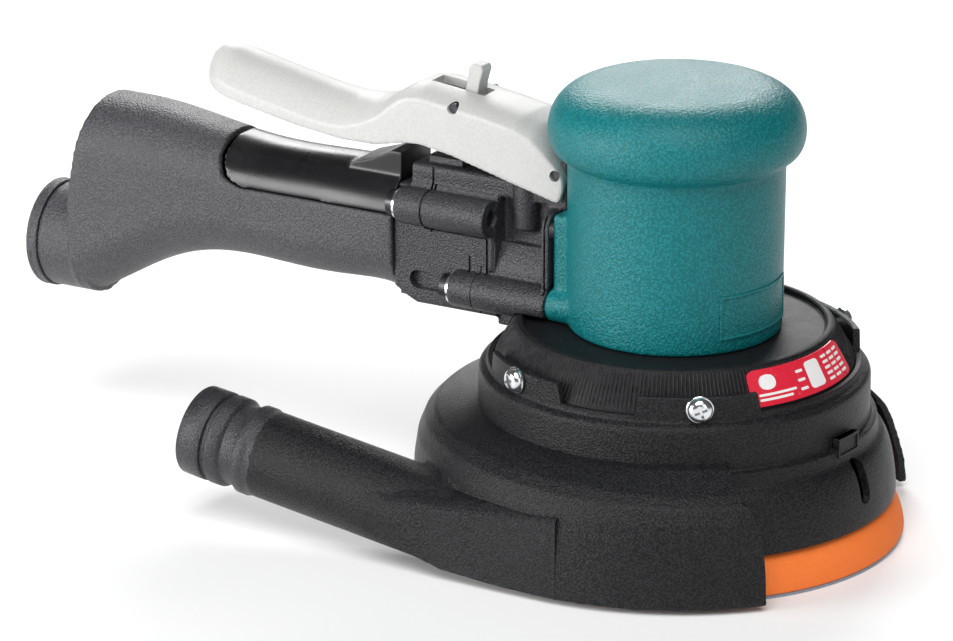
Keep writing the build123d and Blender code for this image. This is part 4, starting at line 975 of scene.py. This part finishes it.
# The skirt's outer line at its near cut, at its left side and at its far end.
SKIRT_NEAR = [
    (88.1, 2.0), (88.2, 3.0), (87.9, 14.0), (87.3, 24.5), (86.2, 30.5),
    (84.2, 35.6), (80.4, 38.4), (74.0, 41.6), (69.2, 44.0), (66.2, 44.5),
]
SKIRT_SIDE = [
    (88.1, 2.0), (88.2, 3.0), (88.0, 14.0), (87.4, 25.0), (86.2, 33.0),
    (83.8, 38.8), (80.2, 42.4), (74.6, 43.8), (69.2, 44.4), (66.2, 44.5),
]
SKIRT_FAR = [
    (88.1, 2.0), (88.2, 3.0), (86.8, 12.0), (84.4, 20.0), (82.0, 26.6),
    (79.6, 31.4), (76.0, 35.4), (71.6, 39.6), (68.4, 42.4), (66.2, 43.4),
]
SPIGOT_TIP = Vector((-143.5, -72.0, 29.7))
SPIGOT_SLOPE = math.radians(8.6)
SPIGOT_WAY = Vector((math.cos(SPIGOT_SLOPE), 0.0, -math.sin(SPIGOT_SLOPE)))


def skirt_line(azimuth):
    """Outer line of the skirt; azimuth runs on from 52 degrees at the far end to 318 at the near cut."""
    if azimuth < 150.0:
        return blended(SKIRT_FAR, SKIRT_SIDE, max(0.0, (azimuth - 60.0) / 90.0))
    return blended(SKIRT_SIDE, SKIRT_NEAR, max(0.0, min(1.0, (azimuth - 235.0) / 65.0)))


def skirt_solid(azimuth):
    return skirt_line(azimuth) + [(58.0, 44.5), (58.0, 2.0)]


def skirt_void(azimuth):
    """The hollow under the skirt, a wall's thickness inside its line."""
    line = [(radius - 2.5 * (1.0 if height < 34.0 else 0.5), height - (0.0 if height < 34.0 else 2.3))
            for radius, height in skirt_line(azimuth)[1:-2]]
    return [(line[0][0], -3.0)] + line + [(68.4, 41.9), (50.0, 41.9), (50.0, -3.0)]


def on_spigot(distance):
    return SPIGOT_TIP + SPIGOT_WAY * distance


class SANDER_OT_skirt(bpy.types.Operator):
    """Outer skirt with the vacuum spigot, its fairing and its barbs"""

    bl_idname = "sander.skirt"
    bl_label = "Outer skirt"

    def execute(self, context):
        azimuths = [51.6 + step * 1.5 for step in range(179)]
        outside = lathe_mesh(skirt_solid, azimuths, whole=False)
        tube = rod_mesh(15.0, on_spigot(27.5), on_spigot(149.0), 72)
        fairing = self.fairing()
        below = box_mesh((-130.0, -100.0, -30.0), (10.0, -40.0, 2.0))
        body = moulded(joined(outside, tube), 0.00075, 3)
        body = combined(body, fairing, "UNION")
        body = cut(body, lathe_mesh(skirt_void, [40.0 + step * 2.5 for step in range(130)], whole=False))
        for cutter in (below, rod_mesh(11.6, on_spigot(55.0), on_spigot(146.0), 64), self.near_cut()):
            body = cut(body, cutter)
        body = cut(body, turned_mesh([(0, -3), (79.6, -3), (79.6, 14.0), (75.6, 34.0), (68.6, 41.8), (0, 41.8)], 160))
        show("outer_skirt_shell", body, [material("black_grain")], "root", ["outer_skirt"], 38)
        show("spigot_nose", self.nose(), [material("black_mould_lit")], "root", (), 40)
        return {"FINISHED"}

    def fairing(self):
        """The flat-sided wedge that carries the spigot into the skirt and ends in an upright crease."""
        sections = []
        for x, y, low, top in ((-84.0, -85.4, 15.5, 25.0), (-62.0, -86.6, 9.5, 24.0), (-40.0, -87.5, 4.0, 25.0),
                               (-18.0, -88.0, 2.6, 27.0), (3.4, -88.15, 2.2, 28.6)):
            sections.append([(x, y + 4.0, low - 1.6), (x, y, low), (x, y, top), (x, y + 1.0, top + 1.2),
                             (x, y + 4.0, top + 3.0), (x, -70.0, top + 4.6), (x, -70.0, low - 1.6)])
        return lofted(sections)

    def near_cut(self):
        """Wedge that gives the near end its slanted edge and clipped corner."""
        outline = ((-46.5, 60.0), (-46.5, 36.6), (-44.4, 33.6), (-42.9, 26.0), (-41.9, 12.0), (-41.6, -5.0),
                   (-20.0, -5.0), (-20.0, 60.0))
        sections = []
        for radius in (55.0, 110.0):
            places = [(math.radians(azimuth), height) for azimuth, height in outline]
            sections.append([(radius * math.cos(angle), radius * math.sin(angle), height) for angle, height in places])
        return lofted(sections)

    def nose(self):
        """The free end: a broad collar, a narrow barb and a thin ridge on a thinner root, with an open bore."""
        profile = [(12.4, 0.4), (12.8, 0.0), (15.1, 0.0), (15.5, 0.5), (15.6, 8.2), (15.3, 8.8), (14.3, 9.1),
                   (14.2, 10.4), (15.2, 10.8), (15.6, 11.3), (15.5, 15.2), (14.9, 15.9), (14.1, 16.5), (14.0, 21.2),
                   (14.3, 21.6), (15.2, 21.9), (15.5, 22.3), (15.5, 25.2), (15.2, 25.7)]
        profile += [(14.95, 27.6), (14.95, 30.0), (11.6, 62.0), (12.4, 60.0)]
        tube = turned_mesh(profile, 96)
        turn = SPIGOT_WAY.to_track_quat("Z", "Y").to_matrix().to_4x4()
        return moved(tube, Matrix.Translation(SPIGOT_TIP * MM) @ turn)


# --- fasteners ------------------------------------------------------------------------------------
def pan_head(radius, height, seat, recess=True):
    """A pan head with a cross recess, its axis along +X from a seat."""
    profile = [(0.0, 0.0), (radius, 0.0)]
    profile += bezier(
        [(radius, 0.0), (radius, height * 0.55), (radius * 0.78, height * 0.92), (radius * 0.45, height)], 8
    )
    profile += [(radius * 0.45, height), (0.0, height * 1.03)]
    head = turned_mesh(profile, 40)
    if recess:
        for turn in (20, 110):
            arm = box_mesh((-radius * 0.52, -0.42, height * 0.45), (radius * 0.52, 0.42, height * 1.3))
            head = cut(head, moved(arm, Matrix.Rotation(math.radians(turn), 4, "Z")))
    head.transform(Matrix.Rotation(math.radians(90), 4, "Y"))
    return moved(head, Matrix.Translation(Vector(seat) * MM))


class SANDER_OT_fasteners(bpy.types.Operator):
    """Shroud screws with their washers"""

    bl_idname = "sander.fasteners"
    bl_label = "Fasteners"

    def execute(self, context):
        pairs = ((SCREW_AZIMUTHS[1], 2 * SCREW_AZIMUTHS[2]), (SCREW_AZIMUTHS[3], 360.0 - 2 * SCREW_AZIMUTHS[3]))
        shank = rod_mesh(2.0, (56.6, 0.0, SCREW_Z), (64.2, 0.0, SCREW_Z), 20)
        head = joined(pan_head(4.2, 2.6, (63.95, 0.0, SCREW_Z)), shank)
        washer = self.washer(63.05, 0.85, 4.6, SCREW_Z)
        screws = [ring_of(head.copy(), 2, first, step, "zinc_bright") for first, step in pairs]
        washers = [ring_of(washer.copy(), 2, first, step, "zinc_bright") for first, step in pairs]
        bright = [material("zinc_bright")]
        show("shroud_screw_heads", joined(*screws), bright, "root", ["shroud_screws"], 35)
        show("shroud_screw_washers", joined(*washers), bright, "root", ["shroud_washers"], 35)
        return {"FINISHED"}

    def washer(self, start, thickness, radius, height):
        """A flat washer with eased edges, its axis along +X."""
        ease = 0.18
        profile = [(2.2, 0.0), (radius - ease, 0.0), (radius, ease), (radius, thickness - ease),
                   (radius - ease, thickness), (2.2, thickness)]
        ring = turned_mesh(profile, 40)
        ring.transform(Matrix.Rotation(math.radians(90), 4, "Y"))
        return moved(ring, Matrix.Translation(Vector((start, 0.0, height)) * MM))


# --- handle ---------------------------------------------------------------------------------------
class SANDER_OT_handle(bpy.types.Operator):
    """Handle sleeve, glossy core and rear ring"""

    bl_idname = "sander.handle"
    bl_label = "Handle"

    def execute(self, context):
        # The sleeve and the rear ring wear the lighter black with painted light.
        sleeve = moulded(design_copy("handle_sleeve"), 0.0007, 6)
        show("handle_sleeve_shell", sleeve, [material("grip_lit_grain")], "root", ["handle_sleeve"])
        core = moulded(design_copy("handle_core"), 0.0006, 6)
        core = inset(core, 0.5)
        front = Matrix.Translation((-0.1, 0.0, 0.0))
        core.transform(front @ Matrix.Diagonal((0.98, 1.0, 1.0, 1.0)) @ front.inverted())
        show("handle_core_shell", core, [material("black_satin")], "root", ["handle_core"])
        ring = moulded(design_copy("exhaust_ring"), 0.0004, 2)
        show("exhaust_rim", ring, [material("grip_lit_grain")], "root", ["exhaust_ring"])
        return {"FINISHED"}


BOSS_Y = 17.5
UPPER_BOSS_Z = 102.4
LOWER_BOSS_Z = 76.0


class SANDER_OT_valve_body(bpy.types.Operator):
    """Casting between handle and housing, with its ribs, bosses and recesses on both sides"""

    bl_idname = "sander.valve_body"
    bl_label = "Valve body"

    def execute(self, context):
        additions = []
        cutters = []
        for side in (-1, 1):
            additions += self.added(side)
            cutters += self.taken(side)
        body = moulded(joined(design_copy("valve_body"), *additions), 0.00055, 2)
        for cutter in cutters:
            body = cut(body, cutter)
        self.bolts()
        # The casting wears the lighter black with painted light.
        show("valve_body_casting", body, [material("black_mould_lit")], "root", ["valve_body"], 40)
        return {"FINISHED"}

    def bolts(self):
        """Socket-head bolts whose shanks end inside their bosses."""
        bolts = []
        for x, height, end in ((-97.0, UPPER_BOSS_Z, -62.0), (-76.0, LOWER_BOSS_Z, -40.0)):
            for side in (-1, 1):
                centre = (side * BOSS_Y, height)
                head = rod_mesh(4.5, (x - 3.0, *centre), (x, *centre), 40)
                head = cut(head, rod_mesh(2.3, (x - 4.0, *centre), (x - 1.0, *centre), 6))
                bolts.append(joined(head, rod_mesh(2.45, (x - 0.2, *centre), (end, *centre), 32)))
        show("valve_body_bolts", joined(*bolts), [material("steel_black")], "root", ["handle_bolts"], 40)

    def added(self, side):
        """Raised ribs, the deck's lip, the valve's barrel, and the lower boss drawn out to the flange."""
        face = 16.0
        return [
            box_mesh(*self.span((-87.4, -61.8), (face - 2, face + 0.9), (95.4, 96.9), side)),
            box_mesh(*self.span((-62.8, -60.9), (face - 2, face + 0.9), (83.6, 96.9), side)),
            box_mesh(*self.span((-95.0, -61.0), (11.0, 13.2), (108.0, 109.2), side)),
            rod_mesh(4.8, (-51.6, side * 9.6, 99.6), (-51.6, side * 9.6, 115.5), 40),
            ball_mesh(4.8, (-51.6, side * 9.6, 99.6), (1.0, 1.0, 0.35)),
            box_mesh(*self.span((-97.4, -75.2), (8.0, face), (69.6, 82.4), side)),
            rod_mesh(6.2, (-60.0, side * BOSS_Y, LOWER_BOSS_Z), (-37.6, side * BOSS_Y, LOWER_BOSS_Z), 48),
            box_mesh(*self.span((-60.5, -37.6), (6.0, face), (83.6, 93.0), side)),
            box_mesh(*self.span((-60.0, -46.0), (4.0, 14.5), (64.4, 74.0), side)),
        ]

    def taken(self, side):
        """Grooves round the bosses and flange, the deck's slit, the scoop and the pocket before the lower boss."""
        upper = (side * BOSS_Y, UPPER_BOSS_Z)
        lower = (side * BOSS_Y, LOWER_BOSS_Z)
        pocket = self.span((-90.5, -75.4), (13.4, 18.0), (72.6, 79.2), side)
        ramp_line = ((16.2, 83.4), (14.6, 87.5), (12.2, 91.6), (9.6, 95.0), (9.6, 97.0), (18.0, 97.0), (18.0, 83.4))
        scoop = [(side * y, z) for y, z in ramp_line]
        case = turned_mesh([(0.0, 60.0), (CONE[0][0] + 0.6, 60.0), (CONE[0][0] + 0.6, CONE[0][1]),
                            (CONE[1][0] + 0.6, CONE[1][1] + 0.3), (0.0, CONE[1][1] + 0.3)], 96)
        return [
            self.ring_groove(-85.6, 0.9, *upper, 5.8),
            self.ring_groove(-66.0, 0.5, *lower, 5.9),
            box_mesh(*self.span((-86.9, -86.0), (11.6, 14.5), (106.0, 118.0), side)),
            box_mesh(*self.span((-88.0, -63.4), (14.8, 17.5), (94.4, 95.3), side)),
            box_mesh(*self.span((-63.9, -62.9), (14.8, 17.5), (82.0, 95.3), side)),
            box_mesh(*self.span((-70.6, -69.8), (15.2, 17.5), (81.6, 87.6), side)),
            box_mesh(*self.span((-38.9, -38.2), (18.0, 22.0), (64.0, 112.0), side)),
            prism_mesh(scoop, -60.2, -40.6),
            box_mesh(*pocket),
            rod_mesh(3.3, (-90.5, side * 13.4, 75.9), (-90.5, side * 18.0, 75.9), 24),
            case,
        ]

    def span(self, xs, ys, zs, side):
        """Two corners of a box whose widths are given for the +Y side."""
        low, high = sorted((side * ys[0], side * ys[1]))
        return (xs[0], low, zs[0]), (xs[1], high, zs[1])

    def ring_groove(self, x, width, y, z, radius):
        ring = turned_mesh([(radius, 0.0), (radius + 3.0, 0.0), (radius + 3.0, width), (radius, width)], 48)
        ring.transform(Matrix.Rotation(math.radians(90), 4, "Y"))
        return moved(ring, Matrix.Translation(Vector((x, y, z)) * MM))


LEVER_ENDS = (-181.2, -34.9)
LEVER_HALF_W = 15.4
PADDLE_DROP = 9.5       # how far the paddle's edges lie below its crown
ARM_DROP = 3.6
LEVER_PINS = ((-38.0, 120.5), (-77.5, 138.0))     # pivot pin and lock-off pin
LEVER_TOP = ((-181.2, 138.2), (-179.8, 141.0), (-177.5, 142.7), (-174.0, 143.5), (-170.0, 143.2), (-165.0, 142.0),
             (-149.0, 138.6), (-133.0, 135.4), (-121.0, 134.0), (-113.0, 134.2), (-107.0, 135.8), (-101.0, 140.0),
             (-96.0, 142.6), (-91.0, 143.2), (-80.0, 141.9), (-66.0, 139.9), (-54.0, 137.6), (-47.5, 134.8),
             (-41.0, 129.4), (-36.5, 125.0), (-34.9, 122.0))
LEVER_UNDER = ((-181.2, 135.5), (-179.6, 132.4), (-172.0, 129.6), (-163.0, 127.5), (-150.0, 124.9), (-140.0, 123.0),
               (-122.0, 120.7), (-109.0, 120.7), (-103.0, 121.8), (-97.4, 123.0), (-91.0, 123.6), (-78.0, 121.4),
               (-58.5, 116.3), (-41.2, 112.0), (-37.0, 110.9), (-35.6, 112.6), (-34.9, 116.0))


def along(points, x):
    """Height of a line through points at a place along X."""
    for (left, low), (right, high) in zip(points, points[1:]):
        if x <= right:
            return low + (high - low) * (x - left) / (right - left)
    return points[-1][1]


class SANDER_OT_levers(bpy.types.Operator):
    """Throttle lever and lock-off lever"""

    bl_idname = "sander.levers"
    bl_label = "Levers"

    def execute(self, context):
        lever = cut(self.channel(0.0, 0.0, LEVER_ENDS), self.channel(2.5, 2.8, (-168.0, -30.0)))
        lever = moulded(lever, 0.0006, 3)
        lever = cut(lever, box_mesh((-92.0, -4.0, 132.0), (-71.5, 4.0, 150.0)))
        for x, z in LEVER_PINS:
            lever = cut(lever, rod_mesh(1.9, (x, -20.0, z), (x, 20.0, z), 32))
        show("throttle_lever_moulding", lever, [material("lever_plastic")], "throttle",
             ["throttle_lever"], 40)
        pins = (("pivot_pin", "root", "lever_pivot_pin"), ("lock_pin_rod", "throttle", "lock_pin"))
        for (name, body, node), (x, z) in zip(pins, LEVER_PINS):
            pin = rod_mesh(1.5, (x, -14.3, z), (x, 14.3, z), 32)
            show(name, pin, [material("steel_black")], body, [node], 40)
        lock = moulded(design_copy("lock_lever"), 0.0003, 3)
        show("lock_lever_moulding", lock, [material("lever_plastic")], "lock", ["lock_lever"])
        return {"FINISHED"}

    def channel(self, wall, roof, ends):
        """The lever's rounded trough: an arched paddle that turns into a flat-sided arm, open below when inset."""
        rows = []
        count = 24
        steps = 110
        for step in range(steps + 1):
            x = ends[0] + (ends[1] - ends[0]) * step / steps
            place = min(max(x, LEVER_ENDS[0]), LEVER_ENDS[1])
            top = along(LEVER_TOP, place) - roof
            under = min(along(LEVER_UNDER, place), top - 1.0) if wall == 0.0 else 90.0
            tip = min(1.0, max(0.0, (-165.0 - place) / 16.4))
            half = LEVER_HALF_W * math.sqrt(1.0 - tip * tip * 0.97) - wall
            share = min(1.0, max(0.0, (place + 128.0) / 30.0))
            share = share * share * (3.0 - 2.0 * share)
            drop = min(PADDLE_DROP + (ARM_DROP - PADDLE_DROP) * share, max(0.5, top - under - 1.5))
            power = 2.2 + 1.0 * share
            row = [(x, -half, under), (x, half, under)]
            for index in range(count + 1):
                y = half * math.cos(math.pi * index / count)
                row.append((x, y, top - drop * (abs(y) / half) ** power))
            rows.append(row)
        return lofted(rows)


# --- pad ------------------------------------------------------------------------------------------
class SANDER_OT_pad(bpy.types.Operator):
    """Orange foam pad and its hook face"""

    bl_idname = "sander.pad"
    bl_label = "Pad"

    def execute(self, context):
        low = PAD_LOW[2]
        top = PAD_HIGH[2]
        edge = (PAD_HIGH[0] - PAD_LOW[0]) / 2
        outline = [(9.0, low), (edge - 0.8, low)]
        outline += bezier([(edge - 0.8, low), (edge - 0.1, low), (edge, low + 0.5), (edge - 0.1, low + 1.4)], 8)
        outline += bezier([(edge - 0.1, low + 1.4), (edge - 0.7, low + 5.5), (edge - 2.4, top - 3.0),
                           (edge - 4.4, top - 0.7)], 18)
        outline += [(edge - 4.4, top - 0.7), (edge - 5.2, top), (9.0, top)]
        foam = turned_mesh(outline, 192, centre_x=ORBIT)
        piece = show("pad_foam", foam, [material("foam_orange")], "pad", ["foam_pad"], 40)
        radius = (HOOK_HIGH[0] - HOOK_LOW[0]) / 2
        face = [(9.0, 0.05), (radius - 0.5, 0.0), (radius, 0.35), (radius, 0.9), (radius - 0.4, 1.2), (9.0, 1.2)]
        disc = turned_mesh(face, 192, centre_x=ORBIT)
        show("pad_hook_face", disc, [material("hook_pile")], "pad", ["hook_face"], 40)
        return {"FINISHED"}


# --- inner pieces ---------------------------------------------------------------------------------
INNER_FINISHES = {
    "steel_machined": (
        "ring_gear", "orbit_gear", "pad_spindle", "crank_shaft", "cylinder_liner", "lower_bearing", "upper_bearing",
        "spindle_bearings", "valve_plunger", "pad_screw", "inlet_bushing",
        "valve_spring", "rotor", "counterweight",
    ),
    "aluminium_machined": ("motor_housing", "lower_end_plate", "upper_end_plate"),
    "brass_turned": ("valve_seat", "stem_guide", "valve_plug"),
    "zinc_bright": ("handle_bolt_washers",),
    "vane_laminate": ("rotor_vanes",),
    "rubber_black": ("stem_seal",),
    "felt_grey": ("exhaust_silencer",),
    "plate_black": ("dust_cover", "backing_plate"),
}


class SANDER_OT_inner_pieces(bpy.types.Operator):
    """Finishes of the motor, gears, valve and other pieces whose design shape is kept"""

    bl_idname = "sander.inner_pieces"
    bl_label = "Inner pieces"

    def execute(self, context):
        for finish, names in INNER_FINISHES.items():
            for name in names:
                node = NODES[name]
                for slot in node.material_slots:
                    slot.material = material(finish)
        return {"FINISHED"}


# --- stage ----------------------------------------------------------------------------------------
def area_light(name, place, target, power, size, size_y):
    """A rectangular soft light that faces a point."""
    data = bpy.data.lights.new(name, "AREA")
    data.shape = "RECTANGLE"
    data.size = size
    data.size_y = size_y
    data.energy = power
    light = bpy.data.objects.new(name, data)
    light.location = place
    light.rotation_euler = (Vector(target) - Vector(place)).to_track_quat("-Z", "Y").to_euler()
    bpy.context.scene.collection.objects.link(light)


FLOOR_REACH = 4000.0
LIGHTS_AIM = (-0.05, 0.0, 0.07)
SUN_FROM = (0.35, -0.75, 1.35)


class SANDER_OT_stage(bpy.types.Operator):
    """Camera, pale floor, soft lights and white surroundings"""

    bl_idname = "sander.stage"
    bl_label = "Stage"

    def execute(self, context):
        stage = stage_of()
        azimuth = math.radians(stage.azimuth)
        rise = math.radians(stage.elevation)
        right = Vector((math.cos(azimuth), math.sin(azimuth), 0.0))
        ahead = Vector((-math.sin(azimuth) * math.cos(rise), math.cos(azimuth) * math.cos(rise), -math.sin(rise)))
        up = right.cross(ahead)
        data = bpy.data.cameras.new("camera")
        data.sensor_width = 36.0
        data.lens = stage.focal
        data.clip_end = 20.0
        camera = bpy.data.objects.new("camera", data)
        place = stage.aim_right * right + stage.aim_up * up - stage.distance * ahead
        camera.matrix_world = Matrix.Translation(place) @ Matrix((right, up, -ahead)).transposed().to_4x4()
        context.scene.collection.objects.link(camera)
        context.scene.camera = camera
        corners = [(x * FLOOR_REACH, y * FLOOR_REACH, 0) for x, y in ((-1, -1), (1, -1), (1, 1), (-1, 1))]
        floor = placed("floor", outward(mesh_from(corners, [(0, 1, 2, 3)])))
        pale, tree, shader, ground = new_material("floor_pale", Base_Color=(0.93, 0.93, 0.93, 1.0))
        tree.links.new(ramp(tree, noise(tree, ground, 8.0), 0.3, 0.7, 0.62, 0.68), shader.inputs["Roughness"])
        floor.data.materials.append(pale)
        area_light("key", (-1.00, -1.25, 0.42), LIGHTS_AIM, stage.key, 1.0, 0.6)
        area_light("fill", (1.45, -0.75, 0.55), LIGHTS_AIM, stage.fill, 0.5, 0.9)
        area_light("rim", (-0.75, 1.25, 0.80), LIGHTS_AIM, stage.rim, 1.0, 0.6)
        sun = bpy.data.lights.new("sun", "SUN")
        sun.energy = stage.overhead
        sun.angle = math.radians(50.0)
        lamp = bpy.data.objects.new("sun", sun)
        lamp.rotation_euler = (-Vector(SUN_FROM)).to_track_quat("-Z", "Y").to_euler()
        context.scene.collection.objects.link(lamp)
        world = bpy.data.worlds.new("studio")
        world.use_nodes = True
        backing = world.node_tree.nodes["Background"]
        backing.inputs["Color"].default_value = (1.0, 1.0, 1.0, 1.0)
        backing.inputs["Strength"].default_value = stage.sky
        context.scene.world = world
        context.scene.view_settings.view_transform = "Standard"
        return {"FINISHED"}


# --- add-on ---------------------------------------------------------------------------------------
OPERATORS = (
    SANDER_OT_stage,
    SANDER_OT_palm_housing,
    SANDER_OT_gear_case,
    SANDER_OT_label,
    SANDER_OT_shroud,
    SANDER_OT_skirt,
    SANDER_OT_fasteners,
    SANDER_OT_handle,
    SANDER_OT_valve_body,
    SANDER_OT_levers,
    SANDER_OT_pad,
    SANDER_OT_inner_pieces,
)


class SANDER_PT_panel(bpy.types.Panel):
    """Lists the sander's pieces and settings"""

    bl_label = "Orbital Sander"
    bl_idname = "SANDER_PT_panel"
    bl_space_type = "VIEW_3D"
    bl_region_type = "UI"
    bl_category = "Sander"

    def draw(self, context):
        layout = self.layout
        for operator in OPERATORS:
            layout.operator(operator.bl_idname)
        for group in (context.scene.sander_finish, context.scene.sander_sizes, context.scene.sander_stage):
            box = layout.box()
            for key in group.bl_rna.properties.keys():
                if key not in ("rna_type", "name"):
                    box.prop(group, key)


GROUPS = {"sander_finish": SanderFinish, "sander_sizes": SanderSizes, "sander_stage": SanderStage}
CLASSES = (*GROUPS.values(), *OPERATORS, SANDER_PT_panel)


def register():
    for each in CLASSES:
        bpy.utils.register_class(each)
    for name, group in GROUPS.items():
        setattr(bpy.types.Scene, name, PointerProperty(type=group))


def unregister():
    for name in GROUPS:
        delattr(bpy.types.Scene, name)
    for each in reversed(CLASSES):
        bpy.utils.unregister_class(each)


def main():
    register()
    for operator in OPERATORS:
        family, name = operator.bl_idname.split(".")
        getattr(getattr(bpy.ops, family), name)()


if __name__ == "__main__":
    main()
